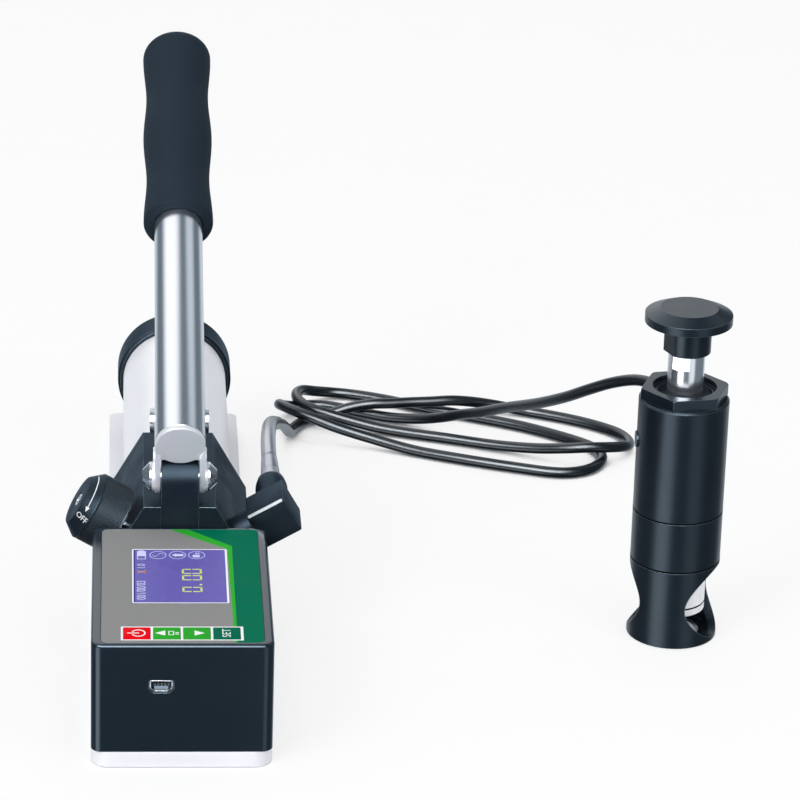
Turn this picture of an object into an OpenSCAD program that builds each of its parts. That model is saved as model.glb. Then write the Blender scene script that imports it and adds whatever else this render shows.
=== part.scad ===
// Hydraulic pull tester: a hand pump with a digital display box, a test hose and a pulling actuator.
// X is right, Y is away from the display's front, Z is up.
// The origin is the front bottom centre of the base plate.

/* [Base plate] */
// Width of the plate under the display box
base_w = 75; // [70:1:84]
// Length of the plate behind the reservoir
base_over = 20; // [10:5:60]
// Thickness of the plate
base_t = 7; // [5:0.5:10]
// Width of the plate under the reservoir
base_rear_w = 61.6; // [50:1:68]
// Length of the plate's wide front part behind the block
base_wide_over = 10.3; // [6:0.1:40]
// Corner radius of the wide part
base_r = 8; // [5:0.5:12]

/* [Display box] */
// Depth of the display box
box_l = 116.8; // [110:1:117]
// Height of the display box above the plate
box_h = 48.8; // [44:0.2:54]
// Corner radius of the box
box_r = 4.5; // [3:0.5:7]
// Wall thickness of the box
box_wall = 2.5; // [2:0.25:3.5]
// Width of the printed panel on top
panel_w = 66.8; // [64:0.2:67]
// Edge of the box in front of and behind the printed panel
panel_edge = 2.4; // [2:0.2:4]
// Width of the display window
lcd_w = 40.6; // [36:0.2:42]
// Length of the display window
lcd_l = 54; // [48:0.5:58]
// Side of a square key
key_side = 11.1; // [9:0.1:11.5]
// Spacing of the keys
key_pitch = 12.3; // [12:0.1:13]
// Travel of a key
key_travel = 0.4; // [0.2:0.1:0.6]

/* [Pump block] */
// Length of the pump block
blk_l = 82.5; // [80:0.5:90]
// Width of the block at its foot
blk_w = 62; // [58:1:68]
// Height of the block's top above the floor
blk_top_z = 65; // [62:0.5:67]
// Width of the block's flat top
blk_top_w = 31.2; // [30:0.4:34]
// Slope of the block's long side faces
chamfer_a = 60; // [56:1:64]

/* [Lever] */
// Height of the lever pivot above the floor
pivot_z = 75; // [74:0.5:78]
// Distance of the lever pivot behind the block's front
pivot_in = 10.8; // [10.6:0.1:11.4]
// Angle of the resting lever above level
lever_a = 24; // [18:1:28]
// Height of the tube's axis over the pivot
lever_rise = 21.8; // [21.5:0.1:24]
// Outer diameter of the lever tube
tube_d = 21.6; // [20:0.2:22]
// Wall thickness of the lever tube
tube_wall = 2; // [1.5:0.25:3]
// Length of the lever from its front end to the end of its grip
lever_l = 253; // [235:1:290]
// Length of the foam grip
grip_l = 118; // [100:1:130]
// Diameter of the grip at its ends
grip_d = 31.4; // [29:0.2:34]
// Diameter of the grip at its two waists
grip_waist_d = 28.6; // [27:0.2:29]
// Diameter of the lever pivot pin
pivot_d = 8; // [6:0.5:9]
// Distance from the pivot to the pin that drives the plunger
link_r = 33; // [32:0.5:34]
// Diameter of the pin that drives the plunger
link_d = 6; // [5:0.25:7]
// Swing of the lever above its rest angle
lever_up = 18; // [10:1:18]
// Swing of the lever below its rest angle
lever_down = 22; // [12:1:22]

/* [Pump works] */
// Diameter of the plunger
plunger_d = 12; // [10:0.5:13]
// Depth of the plunger bore below the block's top
plunger_bore_depth = 44; // [42:1:47]
// Diameter of the check valve balls
ball_d = 6; // [5:0.5:7]

/* [Reservoir] */
// Outer diameter of the reservoir tube
res_d = 48.6; // [44:0.2:49]
// Wall thickness of the reservoir tube
res_wall = 2.2; // [1.5:0.1:3]
// Height of the reservoir's axis
res_z = 40.6; // [39:0.2:41]
// Diameter of the rear cap
cap_d = 53.8; // [52:0.2:56]
// Length of the rear cap
cap_l = 18.5; // [16:0.5:24]
// Length of the reservoir from the block to the cap's back face
res_l = 140.3; // [130:0.5:146]

/* [Release valve] */
// Diameter of the release knob
knob_d = 30.8; // [26:0.2:31]
// Length of the knurled part of the knob
knurl_l = 14.3; // [12:0.1:16]
// Diameter of the knob's flat end
knob_end_d = 22.2; // [18:0.2:24]
// Diameter of the valve stem
stem_d = 8; // [7:0.5:9]

/* [Hose outlet] */
// Length of the elbow block along its screw-in axis
elbow_h = 18.6; // [17:0.2:20]
// Width of the elbow block across its screw-in axis
elbow_w = 17.2; // [16:0.2:18]
// Length of the elbow block along the pump
elbow_l = 21.2; // [18:0.2:22]
// Diameter of the round collar behind the elbow
collar_d = 14.3; // [13:0.1:15]
// Outer diameter of the hose
hose_d = 5.2; // [4.6:0.1:5.4]

/* [Actuator] */
// Sideways distance of the actuator's axis
act_x = 218.4; // [216:0.2:222]
// Distance of the actuator's axis behind the front edge
act_y = 131.3; // [128:0.2:134]
// Outer diameter of the actuator
act_d = 39.5; // [38:0.1:41]
// Height of the windowed foot
foot_h = 36; // [35:0.5:40]
// Diameter of the round window through the foot
window_d = 33.6; // [30:0.1:34]
// Height of the ring between foot and cylinder
ring_h = 23.3; // [22:0.1:28]
// Height of the cylinder
cyl_h = 52.7; // [52:0.1:60]
// Diameter of the piston's bore
piston_d = 28; // [26:0.5:28]
// Stroke of the piston
piston_stroke = 5; // [3:0.5:5]
// Diameter of the drawbar
drawbar_d = 16; // [14:0.25:16.5]
// Outer diameter of the coupler
coupler_d = 28; // [26:0.5:29]
// Bore of the coupler, which takes a test dolly
dolly_bore_d = 20.2; // [19:0.1:21]
// Travel of the drawbar down onto a dolly
drawbar_travel = 9; // [6:0.5:9.5]
// Diameter of the knob on the drawbar
draw_knob_d = 38; // [34:0.5:40]

/* [Hidden] */
$fn = 64;

// Shared clearances
cut = 1;
run = 0.05;
fit = 0.02;

// Colours as red, green and blue shares
black_rgb_share = [0.14, 0.18, 0.22];
silver_rgb_share = [0.78, 0.79, 0.81];
plate_rgb_share = [0.91, 0.91, 0.93];
foam_rgb_share = [0.11, 0.14, 0.18];
brass_rgb_share = [0.75, 0.6, 0.3];
steel_rgb_share = [0.6, 0.61, 0.63];
rubber_rgb_share = [0.08, 0.08, 0.09];
board_rgb_share = [0.05, 0.35, 0.2];
panel_rgb_share = [0.53, 0.53, 0.53];
red_rgb_share = [0.88, 0, 0.08];
green_rgb_share = [0.18, 0.65, 0.18];
dark_green_rgb_share = [0, 0.41, 0.33];
blue_rgb_share = [0.41, 0.37, 0.69];

// Base plate and its screws
base_rear_r = 4;
screw_d = 4;
screw_head_d = 7.6;
screw_head_h = 2.4;
screw_sunk = 0.4;
screw_grip = 9;
block_screw_in = 7;

// Display box
box_top_t = 3;
box_edge = 1.4;
rim_steps = 3;
box_z = base_t + box_h;
top_under_z = box_z - box_top_t;
post_d = 8.5;
post_h = 16;
post_inset = 6;
panel_t = 0.8;
panel_r = 3;
panel_y = panel_edge;
panel_l = box_l - 2 * panel_edge;
panel_gap = 0.1;
lcd_x = -0.4;
lcd_back = 22.8;
lcd_y = box_l - lcd_back - lcd_l;
lcd_t = 1.2;
lcd_gap = 0.1;
lcd_module_t = 6;
lcd_module_rim = 3;
key_row_x = -18.75;
key_row_y = 5.5;
key_t = 1.2;
key_proud = 0.25;
key_gap = 0.15;
key_floor_gap = 0.25;
key_well_t = key_t - key_proud + key_travel + key_floor_gap;
key_stem_d = 4;
key_post_gap = 0.3;
switch_side = 6;
switch_h = 4;
board_t = 1.6;
board_inset = 3;
board_boss_d = 6;
board_boss_over = 4;
board_boss_x = board_inset + board_boss_over;
board_boss_in = [24, 15.8];
board_boss_ys = [board_boss_in[0], box_l - board_boss_in[1]];
usb_w = 7.7;
usb_h = 3.9;
usb_l = 9;
usb_wall = 0.4;
usb_depth = 6;
usb_x = -8.7;
usb_z = 37;
usb_mouth_w = 10.2;
usb_mouth_h = 5.7;
board_z = usb_z + usb_h / 2;
battery_d = 14.2;
battery_l = 50;
battery_gap = 0.4;
battery_shift = 4.6;
battery_y = (box_l - battery_l) / 2 + battery_shift;
cradle_t = 2;

// Pump block
box_gap = 0.4;
blk_y0 = box_l + box_gap;
blk_y1 = blk_y0 + blk_l;
pivot_y = blk_y0 + pivot_in;
blk_low_z = blk_top_z - (blk_w - blk_top_w) / 2 * tan(chamfer_a);
bore_floor = blk_top_z - plunger_bore_depth;
gallery_d = 4;
valve_rise = 1.5;
valve_z = bore_floor + ball_d / 2 + valve_rise;
adapter_deep = 10;
outlet_in = 15.5;
outlet_y = blk_y0 + outlet_in;
outlet_along = 21.3;
gallery_x = blk_top_w / 2 + outlet_along * cos(chamfer_a) - adapter_deep * sin(chamfer_a);
adapter_end_z = blk_top_z - outlet_along * sin(chamfer_a) - adapter_deep * cos(chamfer_a);
sensor_d = 12;
sensor_depth = 12;
sensor_l = 18;
sensor_hex_d = 17;
sensor_hex_l = 5;
sensor_hex_gap = 0.5;

// Lever bracket, a fin that stands in a slot of the block
fin_w = 16;
fin_r = 10;
fin_foot = 15;
fin_lug = 8;
fin_gap = 0.1;
fin_y0 = pivot_y - fin_r;
fin_y1 = pivot_y + fin_r + fin_lug;
fin_z0 = blk_top_z - fin_foot;
fin_screw_d = 5;
fin_screw_head_d = 8.5;
fin_screw_head_h = 5;
fin_screw_grip = 10;
fin_screw_edge = 2.6;
fin_screw_ys = [fin_y0 + fin_screw_edge + fin_screw_d / 2, fin_y1 - fin_screw_d];

// Lever, in its own frame: Y runs up the lever from above the pivot
lever_lead = 2.3;
plug_t = 2;
plug_spigot = 8;
fork_t = 2.2;
fork_gap = 0.4;
fork_in = fin_w / 2 + fork_gap;
fork_out = fork_in + fork_t;
fork_r = 7.3;
fork_sunk = 4;
fork_top = lever_rise - fork_sunk;
fork_l = 44;
pad_t = 1.6;
pad_d = 13;
pad_l = 9.2;
pad_turn = 53;
pin_head_d = 12.6;
pin_rim_t = 0.8;
pin_tip_d = 6;
pin_cone_l = 3.1;
link_head_d = 11;
link_head_t = 2.3;
link_y = pivot_y + link_r * cos(lever_a);
link_z = pivot_z + link_r * sin(lever_a);
grip_y0 = lever_l - lever_lead - grip_l;
grip_end_t = 7;
grip_end_gap = 2;
grip_gap = 0.05;
grip_steps = 24;
grip_lip_r = 2;

// Plunger, driven through a level slot in its yoke
link_clear = 1.1;
yoke_drop = 0.35;
slot_front = link_r * (cos(lever_a) - cos(lever_a + lever_up));
slot_rear = link_r * (cos(lever_a - lever_down) - cos(lever_a));
slot_r = link_d / 2 + link_clear;
yoke_wall = 2.2;
yoke_r = slot_r + yoke_wall;
yoke_w = 15;
yoke_z = link_z - yoke_drop;
plunger_end_gap = 2;
plunger_z0 = bore_floor + link_r * (sin(lever_a) - sin(lever_a - lever_down)) + plunger_end_gap;
gland_d = 18;
gland_h = 11;
gland_flange_d = 20;
gland_flange_h = 2.2;
seal_wire = 2.2;
seal_room = 0.1;

// Check valves
check_room = 1.5;
check_d = ball_d + 2 * check_room;
seat_drop = 0.05;
seat_l = 14;
seat_bore_d = 3.4;
inlet_y0 = link_y + plunger_d;
inlet_ball_y = blk_y1 - seat_l - ball_d / 2 - seat_drop;
outlet_x0 = 14;
outlet_ball_x = outlet_x0 + ball_d / 2 + seat_drop;
block_plug_l = 5;
check_wire = 0.7;
check_coil_d = ball_d;
check_turns = 4;
check_gap = 0.9;

// Reservoir
res_spigot = 8;
cap_lip = 8;
cap_edge = 1.2;
cap_back_y = blk_y1 + res_l;
cap_front_y = cap_back_y - cap_l;
tube_end_y = cap_front_y + cap_lip;
res_in_d = res_d - 2 * res_wall;
bladder_d = 38;
bladder_t = 1.5;
bladder_gap = 3;
bladder_neck_l = 6;
bladder_cone_l = 10;
rod_d = 8;
rod_thread = 10;
rod_nut_d = 15;
rod_nut_l = 6;
rod_proud = 1;
filler_d = 10;
filler_head_d = 14;
filler_head_l = 4;
filler_up = 17;
saddle_w = 36;
saddle_l = 16;
saddle_in = 34;
saddle_y = cap_front_y - saddle_in;
base_l = cap_back_y + base_over;
base_wide_l = blk_y1 + base_wide_over;

// Release valve, on the left slope
valve_in = 16.8;
valve_y = blk_y0 + valve_in;
valve_along = 17.5;
knob_gap = 2.8;
knob_bevel = 5.5;
knob_bore_l = 12;
knob_recess_d = 8.6;
knob_recess_t = 3;
knob_screw_head_d = 7;
knob_screw_d = 4;
knob_screw_grip = 6;
stem_deep = 20;
stem_tip_d = 3;
stem_tip_l = 4;
stem_end_gap = 0.3;
stem_bore_l = 48.5;
stem_seal_deep = 6;
return_in = 10.8;
return_x = -(blk_top_w / 2 + valve_along * cos(chamfer_a) - return_in * sin(chamfer_a));
return_z = blk_top_z - valve_along * sin(chamfer_a) - return_in * cos(chamfer_a);

// Hose outlet, on the right slope
elbow_gap = 7.8;
elbow_edge = 0.9;
adapter_d = 14;
spigot_d = 9;
spigot_l = 5;
passage_d = 2.6;
cross_passage_d = 2;
collar_l = 21.7;
flange_d = 12.3;
flange_l = 2.2;
ferrule_d = 8.8;
ferrule_end_d = 7.4;
ferrule_l = 24.8;
sleeve_d = 7;
outlet_x = blk_top_w / 2 + outlet_along * cos(chamfer_a) + (elbow_gap + elbow_h / 2) * sin(chamfer_a);
outlet_z = blk_top_z - outlet_along * sin(chamfer_a) + (elbow_gap + elbow_h / 2) * cos(chamfer_a);
collar_y = outlet_y + elbow_l / 2;
ferrule_y = collar_y + collar_l;
sleeve_y = ferrule_y + flange_l + ferrule_l;

// Actuator
ring_z0 = foot_h;
cyl_z0 = ring_z0 + ring_h;
cyl_z1 = cyl_z0 + cyl_h;
foot_bore_d = 33;
foot_floor_t = 1.2;
foot_spigot_d = 35.8;
foot_spigot_h = 6;
seam_t = 0.6;
seam_deep = 0.5;
window_z = 18.2;
window_turn = -23;
dolly_hole_d = 24;
ring_wall_t = 3;
ring_wall_z = cyl_z0 - ring_wall_t;
cyl_edge = 0.8;
cyl_floor_t = 24;
chamber_z = cyl_z0 + cyl_floor_t;
nut_turn = 9;
nut_h = 5.1;
nut_corner_d = 39.4;
nut_edge_share = 0.97;
nut_spigot_d = 32;
nut_spigot_h = 6.7;
nut_recess_d = 28;
nut_recess_t = 2.5;
stem_up_d = 24;
stem_low_d = 20;
head_t = 5;
spring_wire = 1;
spring_d = 27.4;
spring_turns = 3;
spring_gap = 0.05;
spring_spare = 0.5;
spring_room = piston_stroke + spring_turns * spring_wire + spring_spare;
head_z = cyl_z1 - nut_spigot_h - spring_room - head_t;
piston_sunk = 1.5;
piston_foot_gap = 2;
piston_top_z = cyl_z1 - piston_sunk;
piston_low_z = cyl_z0 + piston_foot_gap;
low_seal_wire = 1.1;
low_seal_deep = 6;
low_seal_z = chamber_z - low_seal_deep;
port_z = 90;
port_d = 9;
port_hole_d = 3;
port_thread = 4.4;
port_boss_d = 13;
port_boss_l = 6;
fitting_l = 23;
fitting_d = 8.4;
hose_end_y = act_y + act_d / 2 + port_boss_l + fitting_l;
bleed_z = 92;
bleed_d = 5;
bleed_head_d = 7.4;
bleed_head_t = 1.2;
bleed_proud = 0.5;
bleed_l = 4;
neck_z = 133.6;
neck_d = 20.5;
neck_flat = 18.4;
neck_turn = 23;
knob_under_z = 144;
knob_under_d = 23;
knob_rim_z = 147;
knob_rim_t = 3.7;
knob_top_z = 153.5;
knob_top_d = 25.2;
draw_thread = 8;
drawbar_flat = 14;
drawbar_flat_z = 126.9;
drawbar_flat_turn = 64;
coupler_floor_gap = 2.4;
coupler_z = foot_floor_t + coupler_floor_gap + drawbar_travel;
coupler_top_gap = 7;
coupler_top_z = ring_wall_z - coupler_top_gap;
dolly_bore_depth = 9;
coupler_web = 4;
coupler_ring_h = 3.2;
coupler_nose_d = 24.6;
drawbar_low_z = coupler_z + dolly_bore_depth + coupler_web;

// Places of the screws through the plate: the box, the block and the saddle
post_x = base_w / 2 - post_inset;
block_screw_x = blk_w / 2 - block_screw_in;
base_screw_places = [
  for (x = [-post_x, post_x], y = [post_inset, box_l - post_inset]) [x, y],
  for (x = [-block_screw_x, block_screw_x], y = [blk_y0 + block_screw_in, blk_y1 - block_screw_in]) [x, y],
  [0, saddle_y + saddle_l / 2]];

// Hose route: the sleeve, the fall to the floor, two loops and the rise to the actuator
SLEEVE_POINTS = [
  [outlet_x, sleeve_y, outlet_z], [outlet_x, sleeve_y + sleeve_d, outlet_z], [41.2, 212, 55],
  [41.8, 226, 53.7], [42.9, 243, 50], [44.6, 261, 44], [47, 279, 36.4], [48.3, 288, 32.5]];
HOSE_POINTS = [
  [48.3, 288, 32.5], [49.6, 297, 28.6], [52.2, 315, 20], [54.4, 331, 11.5], [56.5, 344, 4.4],
  [60, 355, 2.6], [66.5, 363.5, 2.6], [75.5, 368, 3], [86, 369, 6.4], [97, 368.5, 8.8],
  [107, 369.5, 8.8], [117, 371, 8.8], [127, 372, 8.8], [138, 373.5, 8.8], [149, 376, 7],
  [161, 377.5, 4.5], [174, 375, 2.8], [187, 369.5, 2.6], [200, 362.5, 2.6], [211, 354.6, 2.6],
  [218.3, 347, 2.6], [221.8, 338, 2.8], [221, 328.5, 4.4], [216.5, 320.5, 7], [208.5, 315, 9],
  [199, 313.3, 9.6], [189, 316, 8], [175, 322.8, 5], [157, 331, 3], [137, 339, 2.6], [117, 346, 2.6],
  [101, 351.3, 3.2], [87, 355.6, 5.2], [74, 359, 8], [66, 364.2, 9.2], [61.8, 371.8, 9.6],
  [61.3, 380.5, 9.4], [64.6, 388.5, 7.8], [71, 394, 5], [79.5, 396.8, 3.2], [90, 395.6, 2.6],
  [105, 389.5, 2.6], [121, 381, 2.6], [137, 373, 2.6], [154, 364.8, 2.6], [171, 356, 2.6],
  [187, 345, 2.6], [199.5, 334.5, 2.6], [205.3, 326.7, 2.6], [207, 317.6, 2.6], [204, 308.6, 2.6],
  [197.5, 302, 2.6], [188.6, 299, 2.6], [179, 300, 2.6], [166, 304.4, 2.6], [151, 310, 2.6],
  [135, 316.5, 2.6], [116, 325, 2.8], [97, 333.5, 5], [80, 338.5, 8.6], [68.5, 343, 11.6],
  [59.8, 348.5, 13], [54.2, 356, 12.6], [52.2, 364.6, 10.2], [55.2, 373.4, 5.8], [61.5, 379.4, 3],
  [69.8, 381.8, 2.6], [79, 380, 2.6], [92.5, 373, 2.6], [107, 365.8, 2.8], [120, 359, 5],
  [131, 351.5, 9], [140, 341, 15], [148, 326, 22.5], [158, 301, 35.5], [169, 269, 51],
  [179, 243, 65], [188, 226, 76], [197, 213.5, 84.5], [206, 204.5, 89.6], [213, 197, 91],
  [217, 190.5, 90.4], [act_x, hose_end_y + hose_d, port_z], [act_x, hose_end_y, port_z]];
tube_sides = 8;
gap_steps = 4;
gap_skip = 20;

// Helpers

// Rectangle with round corners, from Y = 0
module round_rect(w, l, r) {
  translate([-w / 2 + r, 0]) square([w - 2 * r, l]);
  translate([-w / 2, r]) square([w, l - 2 * r]);
  for (x = [-w / 2 + r, w / 2 - r], y = [r, l - r])
    translate([x, y]) circle(r);
}

// Ring along Z
module ring(outer_d, inner_d, h) {
  difference() {
    cylinder(d = outer_d, h = h);
    translate([0, 0, -cut]) cylinder(d = inner_d, h = h + 2 * cut);
  }
}

// O-ring around Z with a given inner diameter
module o_ring(inner_d, wire) {
  rotate_extrude() translate([(inner_d + wire) / 2, 0]) circle(d = wire, $fn = 24);
}

// Rectangle in X and Y with cut corners, centred
module cut_rect(w, l, c) {
  polygon([[-w / 2 + c, -l / 2], [w / 2 - c, -l / 2], [w / 2, -l / 2 + c], [w / 2, l / 2 - c],
    [w / 2 - c, l / 2], [-w / 2 + c, l / 2], [-w / 2, l / 2 - c], [-w / 2, -l / 2 + c]]);
}

// Box with all its edges cut at 45 degrees, centred
module cut_box(w, l, h, c) {
  intersection() {
    translate([0, 0, -h / 2]) linear_extrude(h) cut_rect(w, l, c);
    rotate([90, 0, 0]) translate([0, 0, -l / 2]) linear_extrude(l) cut_rect(w, h, c);
    rotate([0, 90, 0]) translate([0, 0, -w / 2]) linear_extrude(w) cut_rect(h, l, c);
  }
}

// Turns +Z to +Y, so a cylinder runs away from the front
module along_y() {
  rotate([-90, 0, 0]) children();
}

// Turns +Z to +X
module along_x() {
  rotate([0, 90, 0]) children();
}

// Stands a child on a long sloping face of the block: side 1 is right, -1 is left
module on_slope(side, along, y) {
  x = blk_top_w / 2 + along * cos(chamfer_a);
  z = blk_top_z - along * sin(chamfer_a);
  translate([side * x, y, z]) rotate([0, side * chamfer_a, 0]) children();
}

// Pivot frame of the lever: local Y runs up the lever, local Z is square to it
module on_lever() {
  translate([0, pivot_y, pivot_z]) rotate([lever_a, 0, 0]) children();
}

// Actuator frame, on its axis at floor level
module on_actuator() {
  translate([act_x, act_y, 0]) children();
}

// Countersunk screw with its head's face at Z = 0, pointing up
module sunk_screw(d, head_d, head_h, l) {
  cylinder(d1 = head_d, d2 = d, h = head_h, $fn = 32);
  cylinder(d = d, h = l, $fn = 32);
}

// Unit vector
function unit(v) = v / norm(v);

// Directions square to a path, carried from ring to ring without twist
function carry(tan, i, prev) = i >= len(tan) ? [] :
  let (n = unit(prev - tan[i] * (prev * tan[i]))) concat([n], carry(tan, i + 1, n));

// Solid tube with a ring at each point of a path
module tube_along(points, d, sides) {
  last = len(points) - 1;
  tan = [for (i = [0 : last]) unit(points[min(i + 1, last)] - points[max(i - 1, 0)])];
  side = carry(tan, 0, [1, 0, 0]);
  rim = [for (i = [0 : last], k = [0 : sides - 1]) let (a = 360 * k / sides)
    points[i] + d / 2 * (cos(a) * side[i] + sin(a) * cross(tan[i], side[i]))];
  walls = [for (i = [0 : last - 1], k = [0 : sides - 1])
    let (a = i * sides + k, b = i * sides + (k + 1) % sides)
    each [[a, b, a + sides], [b, b + sides, a + sides]]];
  first_cap = [for (k = [1 : sides - 2]) [0, k + 1, k]];
  last_cap = [for (k = [1 : sides - 2]) [last * sides, last * sides + k, last * sides + k + 1]];
  polyhedron(rim, concat(walls, first_cap, last_cap));
}

// Coil spring standing on Z = 0, drawn as one wire
module coil_spring(d, wire, h, turns) {
  steps = 10 * turns;
  tube_along([for (i = [0 : steps]) let (a = 360 * turns * i / steps)
    [(d - wire) / 2 * cos(a), (d - wire) / 2 * sin(a), wire / 2 + (h - wire) * i / steps]], wire, 6);
}

// The hose's length and its least gap to itself, measured along its straight runs
hose_steps = [for (i = [0 : len(HOSE_POINTS) - 2], k = [0 : gap_steps - 1])
  HOSE_POINTS[i] + (HOSE_POINTS[i + 1] - HOSE_POINTS[i]) * k / gap_steps];
hose_runs = [for (i = [0 : len(HOSE_POINTS) - 2]) norm(HOSE_POINTS[i + 1] - HOSE_POINTS[i])];
hose_length = hose_runs * [for (run_l = hose_runs) 1];
least_gap = min([for (i = [0 : len(hose_steps) - gap_skip - 1], j = [i + gap_skip : len(hose_steps) - 1])
  norm(hose_steps[i] - hose_steps[j])]) - hose_d;
echo(hose_length = hose_length, least_gap = least_gap);

// Base

// The plate that everything on the pump side stands on
module base_plate() {
  color(plate_rgb_share) difference() {
    linear_extrude(base_t) union() {
      round_rect(base_w, base_wide_l, base_r);
      round_rect(base_rear_w, base_l, base_rear_r);
    }
    for (p = base_screw_places)
      translate([p[0], p[1], -cut]) {
        cylinder(d = screw_d + 2 * run, h = base_t + 2 * cut);
        cylinder(d = screw_head_d + 2 * run, h = cut + screw_sunk + screw_head_h);
      }
  }
}

// Screws up through the plate into the box, the block and the saddle
module base_screws() {
  color(steel_rgb_share)
    for (p = base_screw_places)
      translate([p[0], p[1], screw_sunk]) {
        cylinder(d = screw_d, h = base_t + screw_grip - screw_sunk);
        cylinder(d = screw_head_d, h = screw_head_h);
      }
}

// Display box

// Shell of the display box, open below
module display_housing() {
  color(black_rgb_share) difference() {
    union() {
      difference() {
        translate([0, 0, base_t]) union() {
          linear_extrude(box_h - box_edge) round_rect(base_w, box_l, box_r);
          // Rounded top rim, in steps
          for (k = [0 : rim_steps - 1])
            let (inset = box_edge * (1 - cos(90 * k / rim_steps)))
              translate([0, inset, box_h - box_edge])
                linear_extrude(box_edge * sin(90 * (k + 1) / rim_steps))
                  round_rect(base_w - 2 * inset, box_l - 2 * inset, box_r - inset);
        }
        translate([0, box_wall, base_t - cut]) linear_extrude(box_h - box_top_t + cut)
          round_rect(base_w - 2 * box_wall, box_l - 2 * box_wall, box_r - box_wall);
      }
      intersection() {
        for (x = [-post_x, post_x], y = [post_inset, box_l - post_inset])
          translate([x, y, base_t]) cylinder(d = post_d, h = post_h);
        translate([0, 0, base_t]) linear_extrude(box_h / 2) round_rect(base_w, box_l, box_r);
      }
      for (x = [-1, 1], y = board_boss_ys)
        translate([x * (base_w / 2 - box_wall - board_boss_x), y, board_z + board_t])
          cylinder(d = board_boss_d, h = top_under_z - board_z - board_t + fit);
    }
    for (x = [-post_x, post_x], y = [post_inset, box_l - post_inset])
      translate([x, y, base_t - cut]) cylinder(d = screw_d + 2 * fit, h = screw_grip + 2 * cut);
    translate([0, panel_y - panel_gap, box_z - panel_t])
      linear_extrude(panel_t + cut) round_rect(panel_w + 2 * panel_gap, panel_l + 2 * panel_gap, panel_r);
    translate([key_row_x - key_side / 2 - key_gap, key_row_y - key_gap, box_z - key_well_t])
      cube([3 * key_pitch + key_side + 2 * key_gap, key_side + 2 * key_gap, key_well_t + cut]);
    for (k = [0 : 3])
      translate([key_row_x + k * key_pitch, key_row_y + key_side / 2, top_under_z - cut])
        cylinder(d = key_stem_d + 2 * key_post_gap, h = box_top_t + 2 * cut);
    translate([lcd_x - lcd_w / 2 - lcd_gap, lcd_y - lcd_gap, top_under_z - cut])
      cube([lcd_w + 2 * lcd_gap, lcd_l + 2 * lcd_gap, box_top_t + 2 * cut]);
    translate([usb_x - usb_mouth_w / 2, -cut, usb_z - usb_mouth_h / 2])
      cube([usb_mouth_w, box_wall + 2 * cut, usb_mouth_h]);
    translate([gallery_x, box_l - box_wall - cut, valve_z]) along_y()
      cylinder(d = sensor_hex_d + 2 * sensor_hex_gap, h = box_wall + 2 * cut);
  }
}

// Printed panel, with openings for the window and the keys
module panel_overlay() {
  color(panel_rgb_share) difference() {
    translate([0, panel_y, box_z - panel_t]) linear_extrude(panel_t) round_rect(panel_w, panel_l, panel_r);
    translate([lcd_x - lcd_w / 2 - lcd_gap, lcd_y - lcd_gap, box_z - panel_t - cut])
      cube([lcd_w + 2 * lcd_gap, lcd_l + 2 * lcd_gap, panel_t + 2 * cut]);
    for (k = [0 : 3])
      translate([key_row_x + k * key_pitch - key_side / 2 - key_gap, key_row_y - key_gap,
        box_z - panel_t - cut]) cube([key_side + 2 * key_gap, key_side + 2 * key_gap, panel_t + 2 * cut]);
  }
}

// Clear window over the display
module lcd_window() {
  color(blue_rgb_share) translate([lcd_x - lcd_w / 2, lcd_y, box_z - lcd_t]) cube([lcd_w, lcd_l, lcd_t]);
}

// Display module that hangs under the box's top
module lcd_module() {
  color(board_rgb_share) {
    translate([lcd_x - lcd_w / 2 - lcd_module_rim, lcd_y - lcd_module_rim, top_under_z - lcd_module_t])
      cube([lcd_w + 2 * lcd_module_rim, lcd_l + 2 * lcd_module_rim, lcd_module_t]);
    translate([lcd_x - lcd_w / 2 + lcd_gap, lcd_y + lcd_gap, top_under_z])
      cube([lcd_w - 2 * lcd_gap, lcd_l - 2 * lcd_gap, box_top_t - lcd_t]);
  }
}

// One key of the row, with its stem down to the switch
module key(k) {
  stem_top_z = box_z + key_proud - key_t;
  stem_low_z = board_z + board_t + switch_h + key_travel + run;
  translate([key_row_x + k * key_pitch, key_row_y, 0]) {
    translate([-key_side / 2, 0, stem_top_z]) cube([key_side, key_side, key_t]);
    translate([0, key_side / 2, stem_low_z]) cylinder(d = key_stem_d, h = stem_top_z - stem_low_z);
  }
}

module key_power() { color(red_rgb_share) key(0); }

module key_up() { color(green_rgb_share) key(1); }

module key_down() { color(green_rgb_share) key(2); }

module key_set() { color(dark_green_rgb_share) key(3); }

// Circuit board with a switch under each key and a header for the display
module circuit_board() {
  board_w = base_w - 2 * box_wall - 2 * board_inset;
  color(board_rgb_share) {
    translate([-board_w / 2, box_wall + board_inset, board_z])
      cube([board_w, box_l - 2 * box_wall - 2 * board_inset, board_t]);
    for (k = [0 : 3])
      translate([key_row_x + k * key_pitch - switch_side / 2, key_row_y + key_side / 2 - switch_side / 2,
        board_z + board_t]) cube([switch_side, switch_side, switch_h]);
    translate([lcd_x - lcd_w / 4, lcd_y, board_z + board_t])
      cube([lcd_w / 2, switch_side, top_under_z - lcd_module_t - board_z - board_t]);
  }
}

// Two cells in a cradle on the plate
module battery_pack() {
  color(rubber_rgb_share) {
    difference() {
      translate([-battery_d, battery_y, base_t]) cube([2 * battery_d, battery_l, cradle_t + battery_d / 4]);
      for (x = [-battery_d / 2, battery_d / 2])
        translate([x, battery_y - cut, base_t + cradle_t + battery_d / 2]) along_y()
          cylinder(d = battery_d, h = battery_l + 2 * cut);
    }
    for (x = [-battery_d / 2, battery_d / 2])
      translate([x, battery_y + battery_gap, base_t + cradle_t + battery_d / 2]) along_y()
        cylinder(d = battery_d - 2 * run, h = battery_l - 2 * battery_gap);
  }
}

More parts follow.
